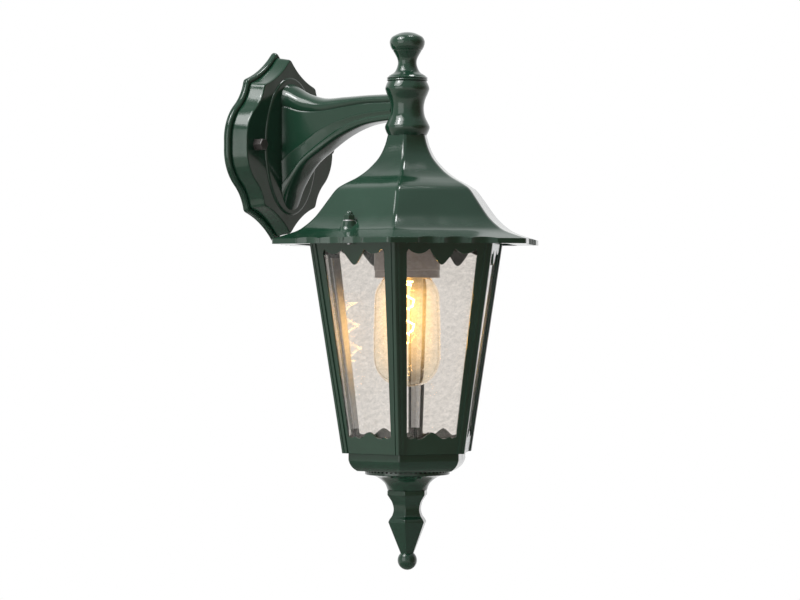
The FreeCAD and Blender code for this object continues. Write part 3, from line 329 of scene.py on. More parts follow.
# ---- materials ----
class Wire:
    """One output of a finish's nodes; arithmetic on wires adds Math nodes."""

    def __init__(self, finish, socket):
        self.finish = finish
        self.socket = socket

    def math(self, operation, *values):
        return self.finish.node("ShaderNodeMath", {"operation": operation}, list(values))

    def __add__(self, other):
        return self.math("ADD", self, other)

    def __radd__(self, other):
        return self.math("ADD", other, self)

    def __sub__(self, other):
        return self.math("SUBTRACT", self, other)

    def __rsub__(self, other):
        return self.math("SUBTRACT", other, self)

    def __mul__(self, other):
        return self.math("MULTIPLY", self, other)

    def __rmul__(self, other):
        return self.math("MULTIPLY", other, self)

    def __gt__(self, other):
        return self.math("GREATER_THAN", self, other)


class Finish:
    """A material with a Principled shader; set() gives its sockets numbers, colours or wires."""

    def __init__(self, name):
        self.material = bpy.data.materials.new(name)
        self.material.use_nodes = True
        self.tree = self.material.node_tree
        self.tree.nodes.clear()
        self.shader = self.tree.nodes.new("ShaderNodeBsdfPrincipled")
        output = self.tree.nodes.new("ShaderNodeOutputMaterial")
        self.tree.links.new(self.shader.outputs["BSDF"], output.inputs["Surface"])
        self.place = self.node("ShaderNodeTexCoord", {}, {}, "Object")

    def node(self, kind, settings, inputs, output=0):
        """Adds a node, sets its settings first and then its sockets, and returns one output as a wire."""
        made = self.tree.nodes.new(kind)
        for key, value in settings.items():
            if key == "ramp":
                self.fill_ramp(made.color_ramp, value)
            else:
                setattr(made, key, value)
        pairs = enumerate(inputs) if isinstance(inputs, list) else inputs.items()
        for key, value in pairs:
            self.feed(made.inputs[key], value)
        return Wire(self, made.outputs[output])

    def fill_ramp(self, ramp, stops):
        while len(ramp.elements) < len(stops):
            ramp.elements.new(0.5)
        for element, (position, colour) in zip(ramp.elements, stops):
            element.position = position
            element.color = (*colour, 1.0)

    def feed(self, socket, value):
        if isinstance(value, Wire):
            self.tree.links.new(value.socket, socket)
        elif isinstance(value, tuple) and len(value) == 3 and socket.type == "RGBA":
            socket.default_value = (*value, 1.0)
        else:
            socket.default_value = value

    def set(self, **sockets):
        for key, value in sockets.items():
            self.feed(self.shader.inputs[key.replace("_", " ")], value)
        return self

    def noise(self, scale, detail=2.0, roughness=0.5, stretch=(1, 1, 1), shift=(0, 0, 0)):
        where = self.node("ShaderNodeMapping", {}, {"Vector": self.place, "Scale": stretch, "Location": shift})
        return self.node("ShaderNodeTexNoise", {}, {"Vector": where, "Scale": scale, "Detail": detail,
                                                    "Roughness": roughness}, "Fac")

    def ramp(self, factor, stops):
        return self.node("ShaderNodeValToRGB", {"ramp": stops}, [factor])

    def blend(self, factor, a, b):
        """Mixes two colours."""
        made = self.tree.nodes.new("ShaderNodeMix")
        made.data_type = "RGBA"
        self.feed(made.inputs[0], factor)
        self.feed(made.inputs[6], a)
        self.feed(made.inputs[7], b)
        return Wire(self, made.outputs[2])

    def bump(self, height, distance, strength=1.0, normal=None):
        sockets = {"Height": height, "Distance": distance, "Strength": strength}
        if normal:
            sockets["Normal"] = normal
        return self.node("ShaderNodeBump", {}, sockets, "Normal")


def powder_coat(name, deep, bright):
    """Gloss powder coat on a casting: faint clouding, orange peel, and the casting's slow waves."""
    f = Finish(name)
    clouds = f.noise(14, 3)
    peel = f.noise(950, 1)
    waves = f.noise(32, 1)
    colour = f.ramp(clouds, [(0.3, deep), (0.7, bright)])
    specks = f.noise(2600, 0)
    f.set(Base_Color=f.blend((specks > 0.74) * 0.2, colour, (0.07, 0.12, 0.09)),
          Roughness=clouds * 0.06 + 0.11, Specular_IOR_Level=0.45, Coat_Weight=0.3, Coat_Roughness=0.05,
          Normal=f.bump(peel, 0.00005, 1.0, f.bump(waves, 0.0009, 1.0)))
    return f


def plain_metal(name, colour, roughness, grain=(1, 1, 1), scale=900):
    f = Finish(name)
    streaks = f.noise(scale, 3, 0.6, grain)
    f.set(Base_Color=f.blend(streaks, tuple(0.82 * c for c in colour), colour),
          Metallic=1.0, Roughness=streaks * 0.18 + roughness, Normal=f.bump(streaks, 0.00003))
    return f


def moulded(name, low, high, roughness, grain=1500):
    f = Finish(name)
    fine = f.noise(grain, 2)
    slow = f.noise(20, 2)
    f.set(Base_Color=f.ramp(slow, [(0.35, low), (0.65, high)]),
          Roughness=fine * 0.12 + roughness, Normal=f.bump(fine, 0.00004))
    return f


def rolled_glass():
    """Clear pane with a rolled relief: painted light and shade of the relief tint its colour, and the relief ripples
    the gloss a little.
    """
    f = Finish("rolled_glass")
    here = f.noise(210, 3, 0.5)
    painted_shade_shift = f.noise(210, 3, 0.5, (1, 1, 1), (0.0005, 0.0005, 0.0008))
    drift = f.noise(60, 2)
    # painted shade: the relief less a shifted copy of it makes one side of each bump lighter and the other darker, as
    # if lit from one side
    f.set(Base_Color=f.ramp((here - painted_shade_shift) * 3.2 + 0.5, [(0.2, (0.765, 0.74, 0.71)), (0.8, (0.895, 0.87, 0.84))]),
          Roughness=drift * 0.03, IOR=1.45, Transmission_Weight=1.0, Normal=f.bump(here, 0.00004, 0.07))
    return f


def blown_glass():
    """Thin clear envelope, with a painted glow: the filament's light painted into its outline and in front of the
    filament.
    """
    f = Finish("blown_glass")
    edge = f.node("ShaderNodeLayerWeight", {}, {"Blend": 0.35}, "Facing")
    height = f.node("ShaderNodeSeparateXYZ", {}, {"Vector": f.place}, "Z")
    low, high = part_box("lamp_filament")
    span = {"Value": height, "From Min": low.z - 0.03, "From Max": high.z + 0.02, "To Min": 0.0, "To Max": 1.0}
    share = f.node("ShaderNodeMapRange", {}, span)
    near = f.ramp(share, [(0.0, (0, 0, 0)), (0.5, (1, 1, 1)), (0.75, (0.8, 0.8, 0.8)), (1.0, (0.1, 0.1, 0.1))])
    # painted glow: a warm glow painted where the envelope faces the view, only in a band round the filament's height
    painted_front_glow = f.ramp(edge, [(0.0, (0.75, 0.44, 0.13)), (0.12, (0.32, 0.18, 0.05)), (0.34, (0.05, 0.03, 0.01))])
    # painted glow: a bright warm outline painted where the envelope turns edge-on
    line = f.ramp(edge, [(0.5, (0.03, 0.018, 0.006)), (0.75, (0.10, 0.06, 0.025)), (1.0, (1.0, 0.72, 0.4))])
    # painted glow: the front glow and the outline glow together, sent to the emission below
    glow = f.node("ShaderNodeVectorMath", {"operation": "MULTIPLY"}, [painted_front_glow, near])
    drift = f.noise(40, 1)
    f.set(Base_Color=f.ramp(drift, [(0.4, (0.98, 0.94, 0.86)), (0.6, (1.0, 0.97, 0.9))]),
          Roughness=0.0, IOR=1.35, Transmission_Weight=1.0, Emission_Strength=0.6,
          Emission_Color=f.node("ShaderNodeVectorMath", {"operation": "ADD"}, [glow, line]))
    return f


def glowing_wire():
    f = Finish("glowing_wire")
    hot = f.noise(60, 1)
    f.set(Base_Color=(1.0, 0.6, 0.25),
          Emission_Color=f.ramp(hot, [(0.3, (1.0, 0.55, 0.14)), (0.7, (1.0, 0.72, 0.32))]),
          Emission_Strength=45.0)
    return f


FINISHES = {
    "green_coat": powder_coat("green_powder_coat", (0.0105, 0.047, 0.026), (0.0145, 0.060, 0.034)),
    "black_steel": moulded("blackened_steel", (0.050, 0.045, 0.043), (0.070, 0.063, 0.060), 0.26),
    "zinc_steel": plain_metal("zinc_plate", (0.56, 0.57, 0.58), 0.28),
    "brass": plain_metal("plain_brass", (0.70, 0.50, 0.22), 0.25),
    "nickel_cap": plain_metal("lamp_cap_metal", (0.74, 0.72, 0.68), 0.24),
    "cap_insulator": moulded("black_vitrite", (0.008, 0.008, 0.010), (0.02, 0.02, 0.022), 0.1),
    "black_rubber": moulded("soft_rubber", (0.014, 0.014, 0.014), (0.025, 0.025, 0.024), 0.6),
    "white_plastic": moulded("white_nylon", (0.62, 0.62, 0.59), (0.72, 0.71, 0.68), 0.4),
    "holder_plastic": moulded("pale_moulding", (0.40, 0.34, 0.305), (0.45, 0.385, 0.35), 0.3),
    "porcelain": moulded("glazed_porcelain", (0.72, 0.71, 0.67), (0.8, 0.79, 0.75), 0.08),
    "textured_glass": rolled_glass(),
    "lamp_glass_slot": blown_glass(),
    "filament_wire": glowing_wire(),
}


def paint_nodes():
    """Each CAD node gets the finish of its record slot."""
    for entry in frame["record"]["subparts"]:
        node = frame["nodes"][entry["node"]]
        node.data.materials.clear()
        node.data.materials.append(FINISHES[entry["material_slot"]].material)


# ---- wall plate, bolts and arm ----
PLATE_ARC_STEPS = 24
# how much larger than the front face, and how far from the wall, in mm: rim bead, groove, body, front edge
PLATE_PROFILE = [(6.6, 1.5), (7.3, 2.0), (7.5, 2.8), (7.4, 3.7), (6.9, 4.1), (7.2, 4.6), (7.1, 5.6), (6.4, 6.6),
                 (5.2, 7.2), (4.2, 7.3), (3.5, 6.5), (2.7, 6.5), (2.4, 7.1), (2.2, 8.2), (0.3, 20.6), (0.0, 21.8),
                 (-0.5, 22.6), (-1.4, 23.0)]
PLATE_HOLLOW = [(-3.0, 19.0), (-2.2, 1.5)]
PAD_HALF_W = 35.4
PAD_HALF_H = 61.5
PAD_PROFILE = [(1.8, -0.4), (1.7, 0.2), (1.4, 0.75), (0.9, 1.15), (0.2, 1.4), (-0.6, 1.5)]


def plate_outline(grow):
    """The plate's outline in mm, larger by grow: a hollow arc from each point to a cusp, then an ogee to the side."""
    top = (0.0, PLATE_HALF_H + grow)
    cusp = (PLATE_CUSP[0] + 0.68 * grow, PLATE_CUSP[1] + 0.68 * grow)
    shoulder = (0.82 * PLATE_HALF_W + 0.75 * grow, 0.4 * PLATE_HALF_H + 0.45 * grow)
    side = (PLATE_HALF_W + grow, 0.0)
    concave = (0.45 * cusp[0], (top[1] + cusp[1]) / 2 - 0.04 * PLATE_HALF_H)
    hollow = (cusp[0] + 0.36 * (shoulder[0] - cusp[0]), cusp[1] + 0.56 * (shoulder[1] - cusp[1]))
    bulge = (shoulder[0] + 0.8 * (side[0] - shoulder[0]), 0.57 * shoulder[1])
    quarter = (arc(top, concave, cusp, PLATE_ARC_STEPS) + arc(cusp, hollow, shoulder, PLATE_ARC_STEPS)
               + arc(shoulder, bulge, side, PLATE_ARC_STEPS))
    lower = [(x, -z) for x, z in reversed(quarter[1:])]
    right = quarter + [side] + lower
    left = [(-x, z) for x, z in reversed(right)]
    bottom = (0.0, -top[1])
    return right + [bottom] + left[:-1]


def rounded(outline, passes):
    """Rounds an outline's corners a little."""
    for _ in range(passes):
        count = len(outline)
        outline = [tuple((outline[i - 1][k] + 2 * outline[i][k] + outline[(i + 1) % count][k]) / 4 for k in (0, 1))
                   for i in range(count)]
    return outline


def wall_ring(outline, out):
    """An outline in mm stood up on the wall, so far out from it."""
    return [Vector((x * MM, -out * MM, z * MM)) for x, z in outline]


def make_plate():
    rings = [wall_ring(rounded(plate_outline(grow), 3), out) for grow, out in PLATE_HOLLOW + PLATE_PROFILE]
    plate = lofted("plate_casting", rings)
    front = -PLATE_PROFILE[-1][1]
    oval = []
    for grow, rise in PAD_PROFILE:
        ellipse = [((PAD_HALF_W + grow) * math.cos(math.tau * i / 96), (PAD_HALF_H + grow) * math.sin(math.tau * i / 96))
                   for i in range(96)]
        oval.append(wall_ring(ellipse, rise - front))
    combined(plate, lofted("pad", oval), "UNION")
    fitted(plate, "bracket", "green_coat", "wall_plate")


def make_bolts():
    """Two tall hexagon heads with chamfered rims."""
    bolts = []
    corner = 10.0 / 2 / COS30
    stations = [(1.0, 22.0), (1.0, 31.6), (0.93, 32.2), (0.84, 32.5), (0.5, 32.5)]
    for side in (-1, 1):
        rings = []
        for share, out in stations:
            rings.append([Vector((side * BOLT_OUT + share * corner * MM * math.cos(math.tau * k / 6), -out * MM,
                                  share * corner * MM * math.sin(math.tau * k / 6))) for k in range(6)])
        bolts.append(softened(lofted("plate_bolt", rings), 0.35 * MM))
    pair = joined(bolts)
    pair.name = "plate_bolt_pair"
    fitted(pair, "bracket", "black_steel", "plate_bolts")


# distance from the lantern's axis, top, underside of the bead, crease, top of the lower roll, half width, half width
# at the roll, depth of the roll and its fullness, in mm
ARM_STATIONS = [
    (132.5, 57.7, 37.0, -13.4, -35.0, 15.8, 14.8, 23.3, 0.54),
    (126.0, 54.6, 35.4, -8.0, -27.0, 14.6, 13.8, 13.5, 0.62),
    (112.0, 47.6, 32.0, 1.0, -13.0, 13.6, 13.0, 6.6, 0.7),
    (92.0, 42.8, 31.4, 12.6, 0.8, 12.6, 12.0, 6.4, 0.72),
    (68.0, 43.2, 34.0, 21.4, 14.0, 11.6, 11.0, 6.3, 0.72),
    (42.0, 43.9, 36.6, 26.6, 21.6, 10.8, 10.2, 5.0, 0.72),
    (12.0, 43.9, 36.8, 28.6, 24.0, 10.2, 9.7, 4.1, 0.72),
]
BEAD_STEPS = 7
ROLL_STEPS = 6
COVE = 1.2                   # the flat side stands this far in from the bead


def arm_ring(distance, top, bead, crease, low, half, half_low, depth, fullness):
    """One section: a round bead on top, a groove, a flat side down to a raised crease, and a full roll below."""
    middle = bead + 0.3 * (top - bead)
    flank = half - COVE
    side = []
    for i in range(BEAD_STEPS + 1):
        t = math.radians(115.0) * i / BEAD_STEPS
        side.append((half * math.sin(t), middle + (top - middle) * math.cos(t)))
    side += [(flank - 0.5, bead + 0.5), (flank - 0.7, bead - 0.2), (flank - 0.1, bead - 1.2), (flank + 0.15, bead - 2.2),
             (flank, crease + 1.6), (flank + 0.15, crease + 1.0), (flank + 0.85, crease + 0.5),
             (flank + 0.9, crease - 0.2), (flank + 0.55, crease - 0.9)]
    neck = half_low - 1.0
    side += [(neck, low + 1.6), (neck + 0.1, low + 1.0), (neck + 0.55, low + 0.35), (half_low, low - 0.4)]
    power = math.log(0.5) / math.log(fullness)
    for i in range(1, ROLL_STEPS):
        t = math.radians(90.0) * i / ROLL_STEPS
        side.append((half_low * math.cos(t) ** (1 / power), low - 0.4 - (depth - 0.4) * math.sin(t) ** (1 / power)))
    bottom = (0.0, low - depth)
    points = side + [bottom] + [(-x, z) for x, z in reversed(side[1:])]
    return [Vector((x * MM, AXIS_Y + distance * MM, z * MM)) for x, z in points]


def make_arm():
    rings = [arm_ring(*station) for station in flowing(ARM_STATIONS, 6)]
    arm = lofted("arm_casting", rings)
    bore = turned("bore", [(SPINDLE_TOP, 13.6 * MM), (ROOF_TOP, 13.6 * MM)], 48)
    fitted(combined(arm, bore, "DIFFERENCE"), "bracket", "green_coat", "arm")


# ---- spindle and finial ----
def make_spindle():
    outline = shaped(SPINDLE_SHAPE, SPINDLE_TOP, SPINDLE_TOP - ROOF_TOP, 20.1 * MM)
    fitted(turned("spindle_turning", outline), "bracket", "green_coat", "spindle")


def make_finial():
    height = 44.0 * MM
    radius = 18.3 * MM
    outline = shaped(FINIAL_SHAPE, FINIAL_TOP, height, radius)
    foot = FINIAL_TOP - height
    outline += [(foot + 2.9 * MM, radius), (foot + 2.3 * MM, 0.985 * radius), (foot + 1.9 * MM, 0.965 * radius),
                (foot + 1.6 * MM, 0.985 * radius), (foot + 0.9 * MM, radius), (foot + 0.3 * MM, 0.985 * radius),
                (foot, 0.95 * radius)]
    fitted(turned("finial_turning", outline), "bracket", "green_coat", "finial")


# ---- roof and its nuts ----
def roof_outline():
    """Down the ogee and the rim's outside, in under the eave, and back up inside."""
    drop = ROOF_H - RIM_H
    spread = EAVE_R - ROOF_NECK_R
    outside = [(ROOF_TOP - t * drop, ROOF_NECK_R + s * spread) for t, s in flowing(ROOF_CURVE, 4)]
    inset = ROOF_WALL / COS30
    inner_r = EAVE_R - EAVE_WALL / COS30
    inside = [(z - 0.8 * ROOF_WALL, r - inset) for z, r in outside[6:] if r - inset < inner_r - 1 * MM]
    eave = ROOF_TOP - drop
    under = [(eave - RIM_H, EAVE_R), (eave - RIM_H, inner_r), (eave - 0.35 * ROOF_WALL, inner_r)]
    return outside + under + list(reversed(inside))


def scallop_comb():
    """Cuts the three hollows of one side in one go; its points stay just outside the rim."""
    flat = EAVE_R * COS30
    radius = (SCALLOP_WIDTH ** 2 / 4 + SCALLOP_DEPTH ** 2) / (2 * SCALLOP_DEPTH)
    centre = flat + 0.12 * MM - SCALLOP_DEPTH + radius
    reach = math.asin(SCALLOP_WIDTH / 2 / radius)
    outline = []
    for across in (-SCALLOP_WIDTH, 0.0, SCALLOP_WIDTH):
        first = -reach * (1.2 if across < 0 else 1.0)
        last = reach * (1.2 if across > 0 else 1.0)
        for i in range(17):
            turn = first + (last - first) * i / 16
            point = (centre - radius * math.cos(turn), across + radius * math.sin(turn))
            if not outline or (Vector(outline[-1]) - Vector(point)).length > 0.01 * MM:
                outline.append(point)
    far = flat + 12 * MM
    outline += [(far, outline[-1][1]), (far, outline[0][1])]
    rim_foot = ROOF_TOP - ROOF_H
    return prism("scallop", [(x, y + AXIS_Y) for x, y in outline], rim_foot - 2 * MM, rim_foot + 18 * MM)


def make_roof():
    roof = six_sided("roof_casting", roof_outline(), RIDGE_ROUND)
    spread = BOSS_FLARE_R - BOSS_R
    flare = [(BOSS_TOP, BOSS_R - 0.6 * MM), (BOSS_TOP - 0.2 * MM, BOSS_R - 0.15 * MM), (BOSS_TOP - 0.7 * MM, BOSS_R)]
    flare += flowing([(BOSS_TOP - 0.3 * BOSS_FLARE, BOSS_R + 0.06 * spread),
                      (BOSS_TOP - 0.55 * BOSS_FLARE, BOSS_R + 0.2 * spread),
                      (BOSS_TOP - 0.8 * BOSS_FLARE, BOSS_R + 0.5 * spread),
                      (BOSS_TOP - BOSS_FLARE, BOSS_FLARE_R)], 3)
    boss = turned("boss", flare, 48)
    for side in (-1, 1):
        combined(roof, copy_of(boss, Matrix.Translation((side * STUD_OUT, 0, 0))), "UNION")
    bpy.data.objects.remove(boss)
    combined(roof, six_times(scallop_comb()), "DIFFERENCE")
    softened(roof, 0.9 * MM, 3, 38)
    fitted(roof, "bracket", "green_coat", "roof")


def make_cap_nuts():
    """Domed nuts: a chamfered hexagon with a round cap on it."""
    corner = 9.0 / 2 / COS30 * MM
    dome_r = 3.3 * MM
    hexagon = turned("hexagon", [(NUT_FOOT, 0.9 * corner), (NUT_FOOT + 0.4 * MM, corner),
                                 (NUT_FOOT + 4.1 * MM, corner), (NUT_FOOT + 4.6 * MM, 0.88 * corner)], 6)
    softened(hexagon, 0.25 * MM)
    dome_z = NUT_FOOT + 4.9 * MM
    dome = [(NUT_FOOT + 2 * MM, dome_r), (NUT_FOOT + 4.6 * MM, dome_r)]
    dome += [(dome_z + dome_r * math.sin(t), max(dome_r * math.cos(t), 0.02 * MM))
             for t in [math.radians(10 * i) for i in range(10)]]
    nut = combined(hexagon, turned("dome", dome, 40), "UNION")
    for side, name in ((-1, "left"), (1, "right")):
        twin = copy_of(nut, Matrix.Translation((side * STUD_OUT, 0, 0)))
        twin.name = "domed_nut_" + name
        fitted(twin, "cap_nut_" + name, "green_coat", "cap_nut_" + name)
    bpy.data.objects.remove(nut)


# ---- cage ----
CORNER_STRIP = 6.0 * MM
GROOVE_WIDTH = 1.2 * MM
GROOVE_DEPTH = 0.7 * MM
PANEL_RECESS = 1.2 * MM
WINDOW_FOOT = 14.0 * MM
WINDOW_TOP = CAGE_H - 7.6 * MM
STILE_TOP = 12.6 * MM
STILE_FOOT = 8.8 * MM
CREST_DROP = 14.0 * MM
CREST_SAG = 4.3 * MM
SILL_HUMP = 5.4 * MM
SILL_CUSP = 1.4 * MM
GLASS_LAP = 4.0 * MM
GLASS_THICK = 3.0 * MM
LEAN = (CAGE_TOP_R - CAGE_FOOT_R) * COS30 / CAGE_H
SLANT = math.hypot(1.0, LEAN)
BODY_CAGE = "cage"


def side_place(face):
    """Lays (across, up, out) on one side of the cage, with its origin at the foot's middle."""
    angle = math.radians(60 * face)
    c = math.cos(angle)
    s = math.sin(angle)
    columns = [(-s, c, 0), (c * LEAN / SLANT, s * LEAN / SLANT, 1 / SLANT), (c / SLANT, s / SLANT, -LEAN / SLANT)]
    turn = Matrix(columns).transposed().to_4x4()
    flat = CAGE_FOOT_R * COS30
    return Matrix.Translation((c * flat, AXIS_Y + s * flat, CAGE_FOOT)) @ turn


def half_side(height):
    return (CAGE_FOOT_R + (CAGE_TOP_R - CAGE_FOOT_R) * height / CAGE_H) / 2


def trapezoid(side_top, side_foot, top, foot):
    """Outline with its half widths measured in from the cage's corners."""
    high = half_side(top) - side_top
    low = half_side(foot) - side_foot
    return [(-low, foot * SLANT), (low, foot * SLANT), (high, top * SLANT), (-high, top * SLANT)]


def window_outline():
    """A crested head with two small sags and a middle lobe, straight jambs and a low wavy sill."""
    head = WINDOW_TOP * SLANT
    sill = WINDOW_FOOT * SLANT
    w = half_side(WINDOW_TOP) - STILE_TOP
    s = half_side(WINDOW_FOOT) - STILE_FOOT
    lobe = [(0.36 * w, head), (0.2 * w, head - 0.56 * CREST_DROP), (0.0, head - CREST_DROP)]
    lobe = flowing(lobe + [(-0.2 * w, head - 0.56 * CREST_DROP), (-0.36 * w, head)], 4)
    sag = arc((0.95 * w, head), (0.66 * w, head - CREST_SAG), (0.36 * w, head), 8)
    outer_dip = arc((s, sill + SILL_CUSP), (0.86 * s, sill), (0.7 * s, sill + SILL_CUSP), 5)
    inner_dip = arc((0.7 * s, sill + SILL_CUSP), (0.52 * s, sill - 0.4 * MM), (0.34 * s, sill + 0.4 * MM), 5)
    hump = [(0.34 * s, sill + 0.4 * MM), (0.18 * s, sill + 0.6 * SILL_HUMP), (0.0, sill + SILL_HUMP)]
    hump = flowing(hump + [(-0.18 * s, sill + 0.6 * SILL_HUMP), (-0.34 * s, sill + 0.4 * MM)], 4)
    right_up = [(w, head - 3 * MM)]
    left = [(-x, z) for x, z in reversed(sag)]
    left_dips = [(-x, z) for x, z in reversed(outer_dip + inner_dip)]
    return right_up + sag + lobe + left + [(-w, head - 3 * MM)] + list(reversed(left_dips))[:0] + left_sill(
        outer_dip, inner_dip, hump)


def left_sill(outer_dip, inner_dip, hump):
    """The sill from the left jamb to the right one."""
    right = outer_dip + inner_dip
    left = [(-x, z) for x, z in right]
    return left + [(-x, z) for x, z in hump] + list(reversed(right))


def make_cage():
    outer_top = (CAGE_FOOT + CAGE_H, CAGE_TOP_R)
    outer_foot = (CAGE_FOOT, CAGE_FOOT_R)
    inset = CAGE_WALL * SLANT / COS30
    floor = CAGE_FOOT + 3 * MM
    slope = (CAGE_TOP_R - CAGE_FOOT_R) / CAGE_H
    floor_r = CAGE_FOOT_R + slope * 3 * MM - inset
    outline = [(floor, 0.3 * floor_r), (floor, floor_r), (CAGE_FOOT, CAGE_FOOT_R - inset), outer_foot, outer_top,
               (CAGE_FOOT + CAGE_H, CAGE_TOP_R - inset), (floor + 3.5 * MM, floor_r + slope * 3.5 * MM),
               (floor + 3.5 * MM, 0.3 * floor_r)]
    cage = six_sided("cage_casting", outline, 0.5 * MM)
    panel = prism("panel", trapezoid(CORNER_STRIP, CORNER_STRIP, CAGE_H + 2 * MM, -2 * MM), -PANEL_RECESS, 5 * MM)
    panel.data.transform(side_place(0))
    combined(cage, six_times(panel), "DIFFERENCE")
    near = 0.5 * (CORNER_STRIP - GROOVE_WIDTH)
    foot = -2 * MM
    top = CAGE_H + 2 * MM
    for side in (-1, 1):
        outline = [(side * (half_side(z) - near - width), z * SLANT)
                   for z, width in ((foot, GROOVE_WIDTH), (foot, 0), (top, 0), (top, GROOVE_WIDTH))]
        groove = prism("groove", outline, -GROOVE_DEPTH, 5 * MM)
        groove.data.transform(side_place(0))
        combined(cage, six_times(groove), "DIFFERENCE")
    window = prism("window", window_outline(), -CAGE_WALL - 3 * MM, 5 * MM)
    window.data.transform(side_place(0))
    combined(cage, six_times(window), "DIFFERENCE")
    softened(cage, 0.35 * MM, 2, 35)
    fitted(cage, BODY_CAGE, "green_coat", "cage_frame")


def make_panes():
    """Six panes with ground edges, one behind each window."""
    names = ["right", "back_right", "back_left", "left", "front_left", "front_right"]
    top = min(WINDOW_TOP + GLASS_LAP, CAGE_H - 1 * MM)
    outline = trapezoid(STILE_TOP - GLASS_LAP, STILE_FOOT - GLASS_LAP, top, WINDOW_FOOT - GLASS_LAP)
    pane = prism("pane", outline, -CAGE_WALL - GLASS_THICK, -CAGE_WALL)
    softened(pane, 0.4 * MM)
    for face, name in enumerate(names):
        one = copy_of(pane, side_place(face))
        one.name = "pane_" + name
        fitted(one, BODY_CAGE, "textured_glass", "glass_" + name)
    bpy.data.objects.remove(pane)


# ---- bowl, vent ring, cup and pendant ----
def make_bowl():
    height = CAGE_FOOT - BOWL_FOOT
    widest = 56.8 * MM
    foot_r = 48.6 * MM
    spread = widest - foot_r
    curve = flowing([(CAGE_FOOT - 0.38 * height, widest), (CAGE_FOOT - 0.6 * height, widest - 0.17 * spread),
                     (CAGE_FOOT - 0.82 * height, widest - 0.5 * spread), (BOWL_FOOT, foot_r)], 4)
    outline = [(CAGE_FOOT, widest)] + curve + [(BOWL_FOOT, 0.4 * foot_r)]
    bowl = six_sided("bowl_casting", outline, 0.8 * MM)
    softened(bowl, 0.5 * MM, 2, 40)
    fitted(bowl, BODY_CAGE, "green_coat", "bottom_bowl")


def make_vent_ring():
    """A ring with slots round its upper edge: every second block of side faces is pushed in."""
    radius = 37.9 * MM
    slot_depth = 1.5 * MM
    outline = [(BOWL_FOOT, radius), (BOWL_FOOT - slot_depth, radius), (RING_FOOT + 0.5 * MM, radius),
               (RING_FOOT, radius - 0.5 * MM)]
    ring = turned("vent_ring_casting", outline, 216)
    edit(ring, "FACE")

    def in_slot(face):
        middle = face.calc_center_median()
        on_side = abs(face.normal.z) < 0.5 and middle.z > BOWL_FOOT - slot_depth
        turn = math.atan2(middle.y - AXIS_Y, middle.x) / math.tau * 54
        return on_side and (turn % 1.0) < 0.5

    choose(ring, "faces", in_slot)
    bpy.ops.mesh.extrude_region_move()
    bpy.ops.transform.resize(value=(0.84, 0.84, 1), center_override=axis_point(BOWL_FOOT))
    fitted(closed(ring), BODY_CAGE, "green_coat", "vent_ring")


def make_cup():
    wide = 34.0 * MM
    narrow = 17.7 * MM
    spread = wide - narrow
    height = RING_FOOT - CUP_FOOT
    flare = flowing([(RING_FOOT - 0.02 * height, wide), (RING_FOOT - 0.1 * height, wide - 0.3 * spread),
                     (RING_FOOT - 0.3 * height, wide - 0.6 * spread), (RING_FOOT - 0.6 * height, wide - 0.87 * spread),
                     (CUP_FOOT + 0.3 * MM, narrow)])
    outline = [(RING_FOOT, wide - 0.3 * MM)] + flare + [(CUP_FOOT, narrow - 0.4 * MM)]
    fitted(turned("cup_turning", outline), BODY_CAGE, "green_coat", "flared_cup")


def make_pendant():
    """A waisted six-sided neck, a straight pyramid and a ball."""
    height = CUP_FOOT - PENDANT_FOOT
    top_r = 19.3 * MM
    wide = 18.5 * MM
    ball_r = 8.7 * MM
    ball_z = PENDANT_FOOT + ball_r

    def at(share, radius):
        return (CUP_FOOT - share * height, radius)

    waist = flowing([at(0.055, top_r), at(0.1, 0.88 * top_r), at(0.15, 0.765 * top_r), at(0.235, 0.69 * top_r),
                     at(0.31, 0.79 * wide), at(0.36, 0.93 * wide), at(0.395, wide)])
    outline = [(CUP_FOOT, top_r)] + waist + [(ball_z + 0.6 * ball_r, 0.33 * wide)]
    drop = six_sided("pendant_casting", outline, 0.5 * MM)
    softened(drop, 0.4 * MM, 2, 35)
    ball = [(ball_z + ball_r * math.sin(t), max(ball_r * math.cos(t), 0.02 * MM))
            for t in [math.radians(90 - 7.5 * i) for i in range(25)]]
    combined(drop, turned("ball", ball, 48), "UNION")
    fitted(drop, BODY_CAGE, "green_coat", "pendant")


# ---- lampholder and lamp ----
def make_holder():
    """Moulded cover with a rounded top, two fine steps and a rolled open foot."""
    radius = 29.0 * MM
    wall = 2.0 * MM
    outline = [(COVER_TOP, 6 * MM), (COVER_TOP, radius - 2.5 * MM)]
    outline += [(COVER_TOP - 2.5 * MM * (1 - math.cos(t)), radius - 2.5 * MM + 2.5 * MM * math.sin(t))
                for t in [math.radians(15 * i) for i in range(1, 7)]]
    outline += [(COVER_FOOT + 7 * MM, radius), (COVER_FOOT + 6.4 * MM, radius - 0.5 * MM),
                (COVER_FOOT + 1.2 * MM, radius - 0.5 * MM), (COVER_FOOT + 0.6 * MM, radius - 0.1 * MM),
                (COVER_FOOT, radius - 0.6 * MM), (COVER_FOOT, radius - wall), (COVER_TOP - wall, radius - wall),
                (COVER_TOP - wall, 6 * MM)]
    fitted(turned("holder_shell", outline, 72), "bracket", "holder_plastic", "holder_cover")


def make_lamp_cap():
    """Rolled thread on the lamp's cap."""
    crest = 13.2 * MM
    root = 12.5 * MM
    turns = 6
    pitch = (CAP_TOP - CAP_FOOT - 3 * MM) / turns
    outline = [(CAP_FOOT, 12.6 * MM)]
    for i in range(turns * 8):
        wave = 0.5 - 0.5 * math.cos(math.tau * i / 8)
        outline.append((CAP_FOOT + 1.5 * MM + pitch * i / 8, root + (crest - root) * wave))
    outline += [(CAP_TOP - 0.8 * MM, root), (CAP_TOP, 10.5 * MM)]
    fitted(turned("threaded_cap", outline, 64), "lamp", "nickel_cap", "lamp_cap")


